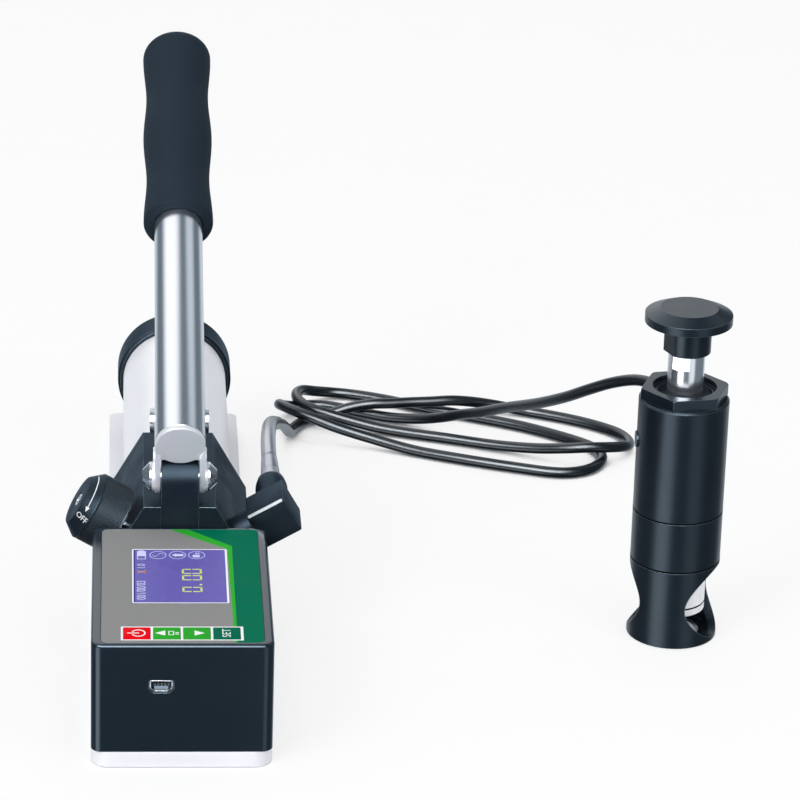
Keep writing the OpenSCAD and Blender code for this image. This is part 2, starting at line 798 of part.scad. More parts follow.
// Small data socket under the board's front edge
module usb_socket() {
  color(steel_rgb_share) translate([usb_x - usb_w / 2, box_wall, usb_z - usb_h / 2]) difference() {
    cube([usb_w, usb_l, usb_h]);
    translate([usb_wall, -cut, usb_wall])
      cube([usb_w - 2 * usb_wall, usb_depth + cut, usb_h - 2 * usb_wall]);
  }
}

// Pump block

// Sensor screwed into the end of the pressure gallery, inside the display box
module pressure_sensor() {
  color(steel_rgb_share) translate([gallery_x, 0, valve_z]) along_y() {
    translate([0, 0, blk_y0 - sensor_l]) cylinder(d = sensor_d, h = sensor_l);
    translate([0, 0, blk_y0 - sensor_hex_l]) cylinder(d = sensor_hex_d, h = sensor_hex_l, $fn = 6);
    translate([0, 0, blk_y0]) cylinder(d = sensor_d, h = sensor_depth - run);
  }
}

// Block with the pump's bores; its long sides slope in to a flat top
module pump_block() {
  color(black_rgb_share) difference() {
    union() {
      translate([0, blk_y1, 0]) rotate([90, 0, 0]) linear_extrude(blk_l)
        polygon([[-blk_w / 2, base_t], [blk_w / 2, base_t], [blk_w / 2, blk_low_z],
          [blk_top_w / 2, blk_top_z], [-blk_top_w / 2, blk_top_z], [-blk_w / 2, blk_low_z]]);
      translate([0, blk_y1 - cut, res_z]) along_y() cylinder(d = res_in_d - 2 * fit, h = res_spigot + cut);
    }
    // Slot and screw holes for the lever's bracket
    translate([-fin_w / 2 - fin_gap, blk_y0 - cut, fin_z0 - fin_gap])
      cube([fin_w + 2 * fin_gap, fin_y1 + fin_gap - blk_y0 + cut, fin_foot + fin_gap + cut]);
    for (y = fin_screw_ys)
      translate([0, y, base_t - cut]) {
        cylinder(d = fin_screw_d + 2 * run, h = fin_z0 - base_t + 2 * cut);
        cylinder(d = fin_screw_head_d + 2 * run, h = cut + fin_screw_head_h + fit);
      }
    // Plunger bore, with room for its gland and seal
    translate([0, link_y, bore_floor]) cylinder(d = plunger_d + 2 * run, h = plunger_bore_depth + cut);
    translate([0, link_y, blk_top_z - gland_h]) cylinder(d = gland_d + 2 * fit, h = gland_h + cut);
    translate([0, link_y, blk_top_z - gland_h - seal_wire - seal_room])
      cylinder(d = plunger_d + 2 * seal_wire + 4 * run, h = seal_wire + seal_room + fit);
    // Inlet from the reservoir
    translate([0, link_y, valve_z]) along_y() cylinder(d = gallery_d, h = inlet_y0 - link_y + cut);
    translate([0, inlet_y0, valve_z]) along_y()
      cylinder(d = check_d, h = blk_y1 - inlet_y0 + res_spigot + cut);
    // Outlet to the pressure gallery, and the gallery's way up to the outlet adapter
    translate([0, link_y, valve_z]) along_x() cylinder(d = gallery_d, h = outlet_x0 + cut);
    translate([outlet_x0, link_y, valve_z]) along_x() cylinder(d = check_d, h = blk_w / 2 - outlet_x0 + cut);
    translate([gallery_x, blk_y0 - cut, valve_z]) along_y() {
      cylinder(d = gallery_d, h = link_y - blk_y0 + cut);
      cylinder(d = sensor_d + 2 * fit, h = sensor_depth + cut);
    }
    translate([gallery_x, outlet_y, valve_z])
      cylinder(d = gallery_d, h = adapter_end_z - valve_z);
    on_slope(1, outlet_along, outlet_y) translate([0, 0, -adapter_deep])
      cylinder(d = spigot_d + 2 * fit, h = adapter_deep + cut);
    // Release valve's bore, seat and seal groove, and its way back to the reservoir
    on_slope(-1, valve_along, valve_y) {
      translate([0, 0, -stem_deep - stem_end_gap])
        cylinder(d = stem_d + 2 * run, h = stem_deep + stem_end_gap + cut);
      translate([0, 0, -stem_deep - stem_end_gap - stem_tip_l])
        cylinder(d1 = stem_tip_d, d2 = stem_d + 2 * run, h = stem_tip_l);
      translate([0, 0, -stem_bore_l]) cylinder(d = stem_tip_d, h = stem_bore_l - stem_deep);
      translate([0, 0, -stem_seal_deep])
        cylinder(d = stem_d + 2 * seal_wire + 4 * run, h = seal_wire + seal_room);
    }
    translate([return_x, valve_y, return_z]) along_y()
      cylinder(d = gallery_d, h = blk_y1 + res_spigot + cut - valve_y);
    // Tie rod and base screws
    translate([0, blk_y1 - rod_thread, res_z]) along_y()
      cylinder(d = rod_d + 2 * fit, h = rod_thread + res_spigot + cut);
    for (x = [-block_screw_x, block_screw_x], y = [blk_y0 + block_screw_in, blk_y1 - block_screw_in])
      translate([x, y, base_t - cut]) cylinder(d = screw_d + 2 * fit, h = screw_grip + 2 * cut);
  }
}

// Fin that carries the lever's pivot, with a foot in the block's slot
module lever_bracket() {
  color(black_rgb_share) difference() {
    union() {
      translate([-fin_w / 2, fin_y0, fin_z0]) cube([fin_w, fin_y1 - fin_y0, fin_foot]);
      translate([-fin_w / 2, fin_y0, fin_z0]) cube([fin_w, 2 * fin_r, pivot_z - fin_z0]);
      translate([-fin_w / 2, pivot_y, pivot_z]) along_x() cylinder(r = fin_r, h = fin_w);
    }
    translate([-fin_w / 2 - cut, pivot_y, pivot_z]) along_x()
      cylinder(d = pivot_d + 2 * run, h = fin_w + 2 * cut);
    for (y = fin_screw_ys)
      translate([0, y, fin_z0 - cut]) cylinder(d = fin_screw_d + 2 * fit, h = fin_screw_grip + 2 * cut);
  }
}

// Two screws up into the bracket, under the block
module bracket_screws() {
  color(steel_rgb_share)
    for (y = fin_screw_ys)
      translate([0, y, base_t]) {
        cylinder(d = fin_screw_head_d, h = fin_screw_head_h);
        cylinder(d = fin_screw_d, h = fin_z0 - base_t + fin_screw_grip);
      }
}

// Lever

module lever_tube() {
  color(silver_rgb_share) on_lever() translate([0, plug_t - lever_lead, lever_rise]) along_y()
    ring(tube_d, tube_d - 2 * tube_wall, lever_l - grip_end_t - grip_end_gap - plug_t);
}

// Flat plug in the tube's front end
module tube_end_plug() {
  color(silver_rgb_share) on_lever() translate([0, -lever_lead, lever_rise]) along_y() {
    cylinder(d = tube_d, h = plug_t);
    cylinder(d = tube_d - 2 * tube_wall - 2 * fit, h = plug_t + plug_spigot);
  }
}

// Outline of a fork cheek, with the lever running along its first axis
module cheek_outline() {
  polygon([
    [-fork_r, fork_top],
    for (a = [180 : 10 : 270]) fork_r * [cos(a), sin(a)],
    for (a = [270 : 10 : 360]) [link_r, 0] + fork_r * [cos(a), sin(a)],
    [fork_l, fork_top]]);
}

// Two cheeks under the tube, one each side of the bracket, with boss pads at the pivot
module lever_fork() {
  color(silver_rgb_share) on_lever() difference() {
    for (side = [-1, 1]) mirror([side < 0 ? 1 : 0, 0, 0]) {
      translate([fork_in, 0, 0]) rotate([90, 0, 90]) linear_extrude(fork_t) cheek_outline();
      translate([fork_out - fork_t / 2, 0, 0]) rotate([90, 0, 90]) linear_extrude(fork_t / 2 + pad_t)
        rotate(pad_turn) polygon([
          for (a = [90 : 10 : 270]) pad_d / 2 * [cos(a), sin(a)],
          for (a = [-90 : 10 : 90]) [pad_l, 0] + pad_d / 2 * [cos(a), sin(a)]]);
    }
    translate([0, -lever_lead - cut, lever_rise]) along_y()
      cylinder(d = tube_d + 2 * fit, h = fork_l + 3 * fork_r);
    for (y = [0, link_r])
      translate([-fork_out - pad_t - cut, y, 0]) along_x()
        cylinder(d = (y == 0 ? pivot_d : link_d) + 2 * fit, h = 2 * (fork_out + pad_t + cut));
  }
}

// Soft grip: two waists between three swells, and a closed round end
module foam_grip() {
  swell = (grip_d - grip_waist_d) / 4;
  mean_r = grip_waist_d / 2 + swell;
  open_l = grip_l - grip_lip_r;
  color(foam_rgb_share) on_lever() translate([0, grip_y0, lever_rise]) along_y() difference() {
    rotate_extrude() polygon([
      [0, 0], [grip_d / 2 - grip_lip_r, 0],
      for (k = [1 : 3]) [grip_d / 2 - grip_lip_r * (1 - sin(30 * k)), grip_lip_r * (1 - cos(30 * k))],
      for (k = [1 : grip_steps - 1]) [mean_r + swell * cos(720 * k / grip_steps),
        grip_lip_r + (open_l - grip_end_t) * k / grip_steps],
      for (k = [0 : 5]) [grip_d / 2 - grip_end_t * (1 - cos(16 * k)),
        grip_l - grip_end_t * (1 - sin(16 * k) / sin(80))],
      [0, grip_l]]);
    translate([0, 0, -cut]) cylinder(d = tube_d + 2 * grip_gap, h = grip_l - grip_end_t + cut);
  }
}

// Polished pivot pin with a cone at each end
module pivot_pin() {
  half = fork_out + pad_t;
  color(silver_rgb_share) on_lever() for (side = [0, 1]) mirror([side, 0, 0]) along_x() {
    translate([0, 0, -fit]) cylinder(d = pivot_d, h = half + fit);
    translate([0, 0, half]) cylinder(d = pin_head_d, h = pin_rim_t);
    translate([0, 0, half + pin_rim_t]) cylinder(d1 = pin_head_d, d2 = pin_tip_d, h = pin_cone_l);
  }
}

// Pin through the cheeks that drives the plunger's yoke
module link_pin() {
  color(silver_rgb_share) on_lever() translate([-fork_out - link_head_t, link_r, 0]) along_x() {
    cylinder(d = link_d, h = 2 * (fork_out + link_head_t));
    cylinder(d = link_head_d, h = link_head_t);
    translate([0, 0, 2 * fork_out + link_head_t]) cylinder(d = link_head_d, h = link_head_t);
  }
}

// Pump works

// Plunger with a yoke on top; the link pin runs in the yoke's level slot
module pump_plunger() {
  color(silver_rgb_share) difference() {
    union() {
      translate([0, link_y, plunger_z0]) cylinder(d = plunger_d, h = yoke_z - plunger_z0);
      translate([-yoke_w / 2, link_y - slot_front, yoke_z]) along_x() cylinder(r = yoke_r, h = yoke_w);
      translate([-yoke_w / 2, link_y + slot_rear, yoke_z]) along_x() cylinder(r = yoke_r, h = yoke_w);
      translate([-yoke_w / 2, link_y - slot_front, yoke_z - yoke_r])
        cube([yoke_w, slot_front + slot_rear, 2 * yoke_r]);
    }
    for (y = [link_y - slot_front, link_y + slot_rear])
      translate([-yoke_w / 2 - cut, y, yoke_z]) along_x() cylinder(r = slot_r, h = yoke_w + 2 * cut);
    translate([-yoke_w / 2 - cut, link_y - slot_front, yoke_z - slot_r])
      cube([yoke_w + 2 * cut, slot_front + slot_rear, 2 * slot_r]);
  }
}

module plunger_gland() {
  color(silver_rgb_share) translate([0, link_y, 0]) difference() {
    union() {
      translate([0, 0, blk_top_z - gland_h]) cylinder(d = gland_d, h = gland_h);
      translate([0, 0, blk_top_z]) cylinder(d = gland_flange_d, h = gland_flange_h);
    }
    translate([0, 0, blk_top_z - gland_h - cut])
      cylinder(d = plunger_d + 2 * run, h = gland_h + gland_flange_h + 2 * cut);
  }
}

// Seals round the plunger, round the release stem and inside the reservoir's cap
module pump_seals() {
  color(rubber_rgb_share) {
    translate([0, link_y, blk_top_z - gland_h - (seal_wire + seal_room) / 2])
      o_ring(plunger_d + 2 * run, seal_wire);
    on_slope(-1, valve_along, valve_y) translate([0, 0, (seal_wire + seal_room) / 2 - stem_seal_deep])
      o_ring(stem_d + 2 * run, seal_wire);
    translate([0, cap_front_y + cap_lip / 2, res_z]) along_y() o_ring(res_d + 2 * fit, seal_wire);
  }
}

// Seat of the inlet ball, in the end of its bore
module inlet_seat() {
  color(brass_rgb_share) translate([0, blk_y1 - seat_l, valve_z]) along_y() difference() {
    cylinder(d = check_d - 2 * fit, h = seat_l);
    translate([0, 0, -cut]) cylinder(d = seat_bore_d, h = seat_l + 2 * cut);
  }
}

module inlet_ball() {
  color(steel_rgb_share) translate([0, inlet_ball_y, valve_z]) sphere(d = ball_d);
}

module outlet_ball() {
  color(steel_rgb_share) translate([outlet_ball_x, link_y, valve_z]) sphere(d = ball_d);
}

// Springs that hold the two balls on their seats
module check_springs() {
  inlet_l = inlet_ball_y - ball_d / 2 - inlet_y0;
  outlet_l = blk_w / 2 - block_plug_l - outlet_ball_x - ball_d / 2;
  color(steel_rgb_share) {
    translate([0, inlet_y0 + fit, valve_z]) along_y()
      coil_spring(check_coil_d, check_wire, inlet_l - check_gap, check_turns);
    translate([outlet_ball_x + ball_d / 2 + check_gap, link_y, valve_z]) along_x()
      coil_spring(check_coil_d, check_wire, outlet_l - check_gap - fit, check_turns);
  }
}

// Plug that closes the outlet valve's bore
module block_plugs() {
  color(steel_rgb_share) translate([blk_w / 2 - block_plug_l, link_y, valve_z]) along_x()
    cylinder(d = check_d - 2 * fit, h = block_plug_l);
}

// Reservoir

module reservoir_tube() {
  color(silver_rgb_share) translate([0, blk_y1, res_z]) along_y() ring(res_d, res_in_d, tube_end_y - blk_y1);
}

module reservoir_cap() {
  color(black_rgb_share) difference() {
    translate([0, cap_front_y, res_z]) along_y() {
      cylinder(d1 = cap_d - 2 * cap_edge, d2 = cap_d, h = cap_edge);
      translate([0, 0, cap_edge]) cylinder(d = cap_d, h = cap_l - 2 * cap_edge);
      translate([0, 0, cap_l - cap_edge]) cylinder(d1 = cap_d, d2 = cap_d - 2 * cap_edge, h = cap_edge);
    }
    translate([0, cap_front_y - cut, res_z]) along_y() cylinder(d = res_d + 2 * fit, h = cap_lip + cut);
    translate([0, cap_front_y + (cap_lip - seal_wire - seal_room) / 2, res_z]) along_y()
      cylinder(d = res_d + 2 * seal_wire + 4 * run, h = seal_wire + seal_room);
    translate([0, cap_front_y, res_z]) along_y() cylinder(d = rod_d + 2 * fit, h = cap_l + cut);
    translate([0, cap_front_y, res_z + filler_up]) along_y()
      cylinder(d = filler_d + 2 * fit, h = cap_l + cut);
  }
}

// Rubber sleeve round the tie rod that takes up the oil's change of volume
module oil_bladder() {
  neck_r = rod_d / 2 + run + bladder_t;
  bladder_y0 = blk_y1 + res_spigot + bladder_gap;
  bladder_l = tube_end_y - bladder_gap - bladder_y0;
  module bag_outline(inset) {
    polygon([[0, -inset], [neck_r - inset, -inset], [neck_r - inset, bladder_neck_l + inset],
      [bladder_d / 2 - inset, bladder_neck_l + bladder_cone_l + inset / 2],
      [bladder_d / 2 - inset, bladder_l - bladder_neck_l - bladder_cone_l - inset / 2],
      [neck_r - inset, bladder_l - bladder_neck_l - inset], [neck_r - inset, bladder_l + inset],
      [0, bladder_l + inset]]);
  }
  color(rubber_rgb_share) translate([0, bladder_y0, res_z]) along_y() rotate_extrude() difference() {
    bag_outline(0);
    bag_outline(bladder_t);
  }
}

// Rod that pulls the cap against the block
module tie_rod() {
  color(steel_rgb_share) translate([0, blk_y1 - rod_thread, res_z]) along_y()
    cylinder(d = rod_d, h = cap_back_y + rod_nut_l + rod_proud - blk_y1 + rod_thread);
}

module rod_nut() {
  color(steel_rgb_share) translate([0, cap_back_y, res_z]) along_y() difference() {
    cylinder(d = rod_nut_d, h = rod_nut_l, $fn = 6);
    translate([0, 0, -cut]) cylinder(d = rod_d + 2 * fit, h = rod_nut_l + 2 * cut);
  }
}

module filler_plug() {
  color(steel_rgb_share) translate([0, cap_front_y + cap_lip, res_z + filler_up]) along_y() {
    cylinder(d = filler_d, h = cap_l - cap_lip);
    translate([0, 0, cap_l - cap_lip]) cylinder(d = filler_head_d, h = filler_head_l);
  }
}

// Block under the reservoir's rear end
module rear_saddle() {
  color(black_rgb_share) difference() {
    translate([-saddle_w / 2, saddle_y, base_t]) cube([saddle_w, saddle_l, res_z - res_d / 4 - base_t]);
    translate([0, saddle_y - cut, res_z]) along_y() cylinder(d = res_d + 2 * fit, h = saddle_l + 2 * cut);
    translate([0, saddle_y + saddle_l / 2, base_t - cut])
      cylinder(d = screw_d + 2 * fit, h = screw_grip + 2 * cut);
  }
}

// Release valve

module release_knob() {
  color(black_rgb_share) on_slope(-1, valve_along, valve_y) difference() {
    translate([0, 0, knob_gap]) {
      cylinder(d = knob_d, h = knurl_l);
      translate([0, 0, knurl_l]) cylinder(d1 = knob_d, d2 = knob_end_d, h = knob_bevel);
    }
    translate([0, 0, knob_gap - cut]) cylinder(d = stem_d + 2 * fit, h = knob_bore_l + cut);
    translate([0, 0, knob_gap]) cylinder(d = knob_screw_d + 2 * fit, h = knurl_l + knob_bevel + cut);
    translate([0, 0, knob_gap + knurl_l + knob_bevel - knob_recess_t])
      cylinder(d = knob_recess_d, h = knob_recess_t + cut);
  }
}

// Screw that holds the knob on its stem
module knob_screw() {
  head_z = knob_gap + knurl_l + knob_bevel - knob_recess_t;
  color(silver_rgb_share) on_slope(-1, valve_along, valve_y) {
    translate([0, 0, head_z]) cylinder(d = knob_screw_head_d, h = knob_recess_t);
    translate([0, 0, knob_gap + knob_bore_l - knob_screw_grip])
      cylinder(d = knob_screw_d, h = head_z - knob_gap - knob_bore_l + knob_screw_grip);
  }
}

module release_stem() {
  color(silver_rgb_share) on_slope(-1, valve_along, valve_y) difference() {
    union() {
      translate([0, 0, -stem_deep]) cylinder(d = stem_d, h = stem_deep + knob_gap + knob_bore_l);
      translate([0, 0, -stem_deep - stem_tip_l + stem_end_gap])
        cylinder(d1 = stem_tip_d, d2 = stem_d, h = stem_tip_l - stem_end_gap);
    }
    translate([0, 0, knob_gap + knob_bore_l - knob_screw_grip])
      cylinder(d = knob_screw_d + 2 * fit, h = knob_screw_grip + cut);
  }
}

// Hose outlet

module outlet_adapter() {
  color(silver_rgb_share) on_slope(1, outlet_along, outlet_y) difference() {
    union() {
      translate([0, 0, -adapter_deep]) cylinder(d = spigot_d, h = adapter_deep + elbow_gap + spigot_l - fit);
      cylinder(d = adapter_d, h = elbow_gap);
    }
    translate([0, 0, -adapter_deep - cut])
      cylinder(d = passage_d, h = adapter_deep + elbow_gap + spigot_l + 2 * cut);
  }
}

module hose_elbow() {
  color(black_rgb_share) difference() {
    on_slope(1, outlet_along, outlet_y) translate([0, 0, elbow_gap + elbow_h / 2])
      cut_box(elbow_w, elbow_l, elbow_h, elbow_edge);
    on_slope(1, outlet_along, outlet_y) translate([0, 0, elbow_gap]) {
      translate([0, 0, -cut]) cylinder(d = spigot_d + 2 * fit, h = spigot_l + cut);
      cylinder(d = passage_d, h = elbow_h / 2 + passage_d);
    }
    translate([outlet_x, outlet_y - passage_d, outlet_z]) along_y()
      cylinder(d = cross_passage_d, h = elbow_l);
    translate([outlet_x, collar_y - spigot_l, outlet_z]) along_y()
      cylinder(d = spigot_d + 2 * fit, h = spigot_l + cut);
  }
}

module hose_collar() {
  color(black_rgb_share) translate([outlet_x, collar_y, outlet_z]) along_y() difference() {
    union() {
      cylinder(d = collar_d, h = collar_l);
      translate([0, 0, -spigot_l + fit]) cylinder(d = spigot_d, h = spigot_l);
    }
    translate([0, 0, -spigot_l - cut]) cylinder(d = passage_d, h = collar_l + spigot_l + 2 * cut);
  }
}

module hose_ferrule() {
  color(silver_rgb_share) translate([outlet_x, ferrule_y, outlet_z]) along_y() difference() {
    union() {
      cylinder(d = flange_d, h = flange_l);
      translate([0, 0, flange_l]) cylinder(d1 = ferrule_d, d2 = ferrule_end_d, h = ferrule_l);
    }
    translate([0, 0, -cut]) cylinder(d = passage_d, h = flange_l + ferrule_l / 2);
  }
}

// Bend sleeve over the hose's first stretch
module bend_sleeve() {
  color(panel_rgb_share) tube_along(SLEEVE_POINTS, sleeve_d, tube_sides);
}

module hose() {
  color(rubber_rgb_share) tube_along(HOSE_POINTS, hose_d, tube_sides);
}

// Actuator

// Hose fitting in the port at the cylinder's back
module actuator_hose_fitting() {
  color(silver_rgb_share) on_actuator() translate([0, 0, port_z]) difference() {
    union() {
      along_y() cylinder(d = port_boss_d, h = act_d / 2 + port_boss_l);
      translate([0, act_d / 2 + port_boss_l, 0]) along_y() cylinder(d = fitting_d, h = fitting_l);
    }
    translate([0, 0, -port_boss_d]) cylinder(d = act_d + 2 * fit, h = 2 * port_boss_d);
  }
  color(silver_rgb_share) on_actuator() translate([0, act_d / 2 - port_thread + fit, port_z]) along_y()
    ring(port_d, port_hole_d, port_thread + port_boss_l / 2);
}

module actuator_body() {
  color(black_rgb_share) on_actuator() difference() {
    union() {
      translate([0, 0, cyl_z0]) cylinder(d = act_d - 2 * seam_deep, h = seam_t + fit);
      translate([0, 0, cyl_z0 + seam_t]) cylinder(d = act_d, h = cyl_h - seam_t - cyl_edge);
      translate([0, 0, cyl_z1 - cyl_edge]) cylinder(d1 = act_d, d2 = act_d - 2 * cyl_edge, h = cyl_edge);
    }
    translate([0, 0, cyl_z0 - cut]) cylinder(d = stem_low_d + 2 * run, h = cyl_h);
    translate([0, 0, chamber_z]) cylinder(d = piston_d, h = cyl_h);
    translate([0, 0, cyl_z1 - nut_spigot_h]) cylinder(d = nut_spigot_d + 2 * fit, h = nut_spigot_h + cut);
    translate([0, 0, port_z]) along_y() cylinder(d = port_hole_d, h = act_d);
    translate([0, act_d / 2 - port_thread, port_z]) along_y()
      cylinder(d = port_d + 2 * fit, h = port_thread + cut);
    translate([-act_d / 2 - cut, 0, bleed_z]) along_x() {
      cylinder(d = bleed_head_d + 2 * fit, h = cut + bleed_head_t - bleed_proud);
      cylinder(d = bleed_d + 2 * fit, h = cut + bleed_l);
    }
  }
}

// Ring between foot and cylinder, closed above the coupler
module actuator_ring() {
  color(black_rgb_share) on_actuator() difference() {
    union() {
      translate([0, 0, ring_z0]) cylinder(d = act_d - 2 * seam_deep, h = seam_t + fit);
      translate([0, 0, ring_z0 + seam_t]) cylinder(d = act_d, h = ring_h - seam_t);
    }
    translate([0, 0, ring_z0 - cut]) cylinder(d = foot_bore_d, h = ring_h - ring_wall_t + cut);
    translate([0, 0, ring_z0 - cut]) cylinder(d = foot_spigot_d + 2 * fit, h = foot_spigot_h + cut);
    translate([0, 0, ring_z0]) cylinder(d = stem_low_d + 2 * run, h = ring_h + cut);
  }
}

// Foot that stands on the coating, with a round window through it
module actuator_foot() {
  color(black_rgb_share) on_actuator() difference() {
    union() {
      cylinder(d = act_d, h = foot_h);
      cylinder(d = foot_spigot_d, h = foot_h + foot_spigot_h);
    }
    translate([0, 0, -cut]) cylinder(d = dolly_hole_d, h = foot_floor_t + 2 * cut);
    translate([0, 0, foot_floor_t]) cylinder(d = foot_bore_d, h = foot_h + foot_spigot_h);
    rotate(window_turn) translate([-act_d, 0, window_z]) along_x() cylinder(d = window_d, h = 2 * act_d);
  }
}

// Hexagonal nut that closes the cylinder and guides the piston
module gland_nut() {
  color(black_rgb_share) on_actuator() difference() {
    union() {
      translate([0, 0, cyl_z1]) rotate(nut_turn) intersection() {
        cylinder(d = nut_corner_d, h = nut_h, $fn = 6);
        cylinder(d1 = nut_corner_d * (1 + nut_edge_share) / 2 + 2 * nut_h,
          d2 = nut_corner_d * nut_edge_share, h = nut_h);
      }
      translate([0, 0, cyl_z1 - nut_spigot_h]) cylinder(d = nut_spigot_d, h = nut_spigot_h);
    }
    translate([0, 0, cyl_z1 - nut_spigot_h - cut])
      cylinder(d = stem_up_d + 2 * run, h = nut_spigot_h + nut_h + 2 * cut);
    translate([0, 0, cyl_z1 + nut_h - nut_recess_t]) cylinder(d = nut_recess_d, h = nut_recess_t + cut);
  }
}

module bleed_screw() {
  color(steel_rgb_share) on_actuator() translate([-act_d / 2 - bleed_proud, 0, bleed_z]) along_x() {
    cylinder(d = bleed_head_d, h = bleed_head_t);
    cylinder(d = bleed_d, h = bleed_proud + bleed_l);
  }
}

// Piston, lifted by the oil under its head
module piston() {
  color(steel_rgb_share) on_actuator() difference() {
    union() {
      translate([0, 0, piston_low_z]) cylinder(d = stem_low_d, h = head_z - piston_low_z + fit);
      translate([0, 0, head_z]) cylinder(d = piston_d - 2 * run, h = head_t);
      translate([0, 0, head_z + head_t - fit])
        cylinder(d = stem_up_d, h = piston_top_z - head_z - head_t + fit);
    }
    translate([0, 0, piston_low_z - cut])
      cylinder(d = drawbar_d + 2 * run, h = piston_top_z - piston_low_z + 2 * cut);
    translate([0, 0, head_z + (head_t - seal_wire - seal_room) / 2])
      ring(piston_d + 2 * cut, piston_d - 2 * run - 2 * seal_wire - 4 * fit, seal_wire + seal_room);
    translate([0, 0, low_seal_z])
      ring(stem_low_d + 2 * cut, stem_low_d - 2 * low_seal_wire - 4 * fit, low_seal_wire + seal_room);
  }
}

// Seals on the piston's head and on its lower stem
module piston_seals() {
  color(rubber_rgb_share) on_actuator() {
    translate([0, 0, head_z + head_t / 2]) o_ring(piston_d - 2 * run - 2 * seal_wire, seal_wire);
    translate([0, 0, low_seal_z + (low_seal_wire + seal_room) / 2])
      o_ring(stem_low_d - 2 * low_seal_wire, low_seal_wire);
  }
}

// Spring that brings the piston back down
module return_spring() {
  color(steel_rgb_share) on_actuator() translate([0, 0, head_z + head_t + spring_gap])
    coil_spring(spring_d, spring_wire, spring_room - 2 * spring_gap, spring_turns);
}

module drawbar() {
  color(silver_rgb_share) on_actuator() difference() {
    translate([0, 0, drawbar_low_z]) cylinder(d = drawbar_d, h = neck_z + draw_thread - drawbar_low_z);
    for (side = [0, 180])
      rotate(drawbar_flat_turn + side) translate([drawbar_flat / 2, -drawbar_d, drawbar_flat_z])
        cube([drawbar_d, 2 * drawbar_d, neck_z - drawbar_flat_z]);
  }
}

// Round knob on top of the drawbar
module drawbar_knob() {
  color(black_rgb_share) on_actuator() difference() {
    union() {
      intersection() {
        translate([0, 0, neck_z]) cylinder(d = neck_d, h = knob_under_z - neck_z);
        rotate(neck_turn) translate([-neck_flat / 2, -neck_d, neck_z])
          cube([neck_flat, 2 * neck_d, knob_top_z - neck_z]);
      }
      translate([0, 0, knob_under_z])
        cylinder(d1 = knob_under_d, d2 = draw_knob_d, h = knob_rim_z - knob_under_z);
      translate([0, 0, knob_rim_z]) cylinder(d = draw_knob_d, h = knob_rim_t);
      translate([0, 0, knob_rim_z + knob_rim_t])
        cylinder(d1 = draw_knob_d, d2 = knob_top_d, h = knob_top_z - knob_rim_z - knob_rim_t);
    }
    translate([0, 0, neck_z - cut]) cylinder(d = drawbar_d + 2 * fit, h = draw_thread + cut + fit);
  }
}

// Coupler that grips a test dolly's head
module coupler() {
  color(steel_rgb_share) on_actuator() difference() {
    union() {
      translate([0, 0, coupler_z + coupler_ring_h])
        cylinder(d = coupler_d, h = coupler_top_z - coupler_z - coupler_ring_h);
      translate([0, 0, coupler_z]) cylinder(d = coupler_nose_d, h = coupler_ring_h + fit);
    }
    translate([0, 0, coupler_z - cut]) cylinder(d = dolly_bore_d, h = dolly_bore_depth + cut);
    translate([0, 0, drawbar_low_z]) cylinder(d = drawbar_d + 2 * fit, h = coupler_top_z);
  }
}

module coupler_ring() {
  color(silver_rgb_share) on_actuator() translate([0, 0, coupler_z])
    ring(coupler_d, coupler_nose_d + 2 * fit, coupler_ring_h - run);
}

base_plate();
base_screws();
display_housing();
panel_overlay();
lcd_window();
lcd_module();
key_power();
key_up();
key_down();
key_set();
circuit_board();
battery_pack();
usb_socket();
pressure_sensor();
pump_block();
lever_bracket();
bracket_screws();
lever_tube();
tube_end_plug();
lever_fork();
foam_grip();
pivot_pin();
link_pin();
pump_plunger();
plunger_gland();
pump_seals();
inlet_seat();
inlet_ball();
outlet_ball();
check_springs();
block_plugs();
reservoir_tube();
reservoir_cap();
oil_bladder();
tie_rod();
rod_nut();
filler_plug();
rear_saddle();
release_knob();
knob_screw();
release_stem();
outlet_adapter();
hose_elbow();
hose_collar();
hose_ferrule();
bend_sleeve();
hose();
actuator_hose_fitting();
actuator_body();
actuator_ring();
actuator_foot();
gland_nut();
bleed_screw();
piston();
piston_seals();
return_spring();
drawbar();
drawbar_knob();
coupler();
coupler_ring();
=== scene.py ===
import math

import bmesh
import bpy
from mathutils import Matrix, Vector


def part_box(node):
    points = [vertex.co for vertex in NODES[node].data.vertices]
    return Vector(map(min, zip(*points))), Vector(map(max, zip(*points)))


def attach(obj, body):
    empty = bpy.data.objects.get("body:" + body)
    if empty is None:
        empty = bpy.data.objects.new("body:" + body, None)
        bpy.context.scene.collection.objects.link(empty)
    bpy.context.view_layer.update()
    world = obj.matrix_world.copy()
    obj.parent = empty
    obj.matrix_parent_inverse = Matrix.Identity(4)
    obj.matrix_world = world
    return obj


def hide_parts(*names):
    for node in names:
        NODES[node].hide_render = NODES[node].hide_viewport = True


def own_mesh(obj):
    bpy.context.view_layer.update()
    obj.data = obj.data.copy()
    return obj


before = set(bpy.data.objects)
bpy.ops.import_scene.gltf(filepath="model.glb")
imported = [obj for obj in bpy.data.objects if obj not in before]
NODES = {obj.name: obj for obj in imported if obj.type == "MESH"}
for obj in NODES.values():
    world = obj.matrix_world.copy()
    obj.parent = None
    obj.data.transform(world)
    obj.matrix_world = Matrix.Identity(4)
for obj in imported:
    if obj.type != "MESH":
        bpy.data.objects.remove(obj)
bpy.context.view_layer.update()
MM = 0.001

# Places and sizes in mm and angles in degrees, as in the CAD: the display box with its panel and keys
TOP_Z = 55.8
BOX = (-37.5, 0, 37.5, 116.8)
PANEL = (-33.4, 2.4, 33.4, 114.4)
KEY_X, KEY_Y, KEY_SIDE, KEY_PITCH = -18.75, 5.5, 11.1, 12.3

# The lever, whose tube runs at a height over its pivot
PIVOT = (0, 128, 75)
LEVER_TILT = 24
RISE = 21.8
TUBE_R = 10.8
SIDES = {-1: "left", 1: "right"}

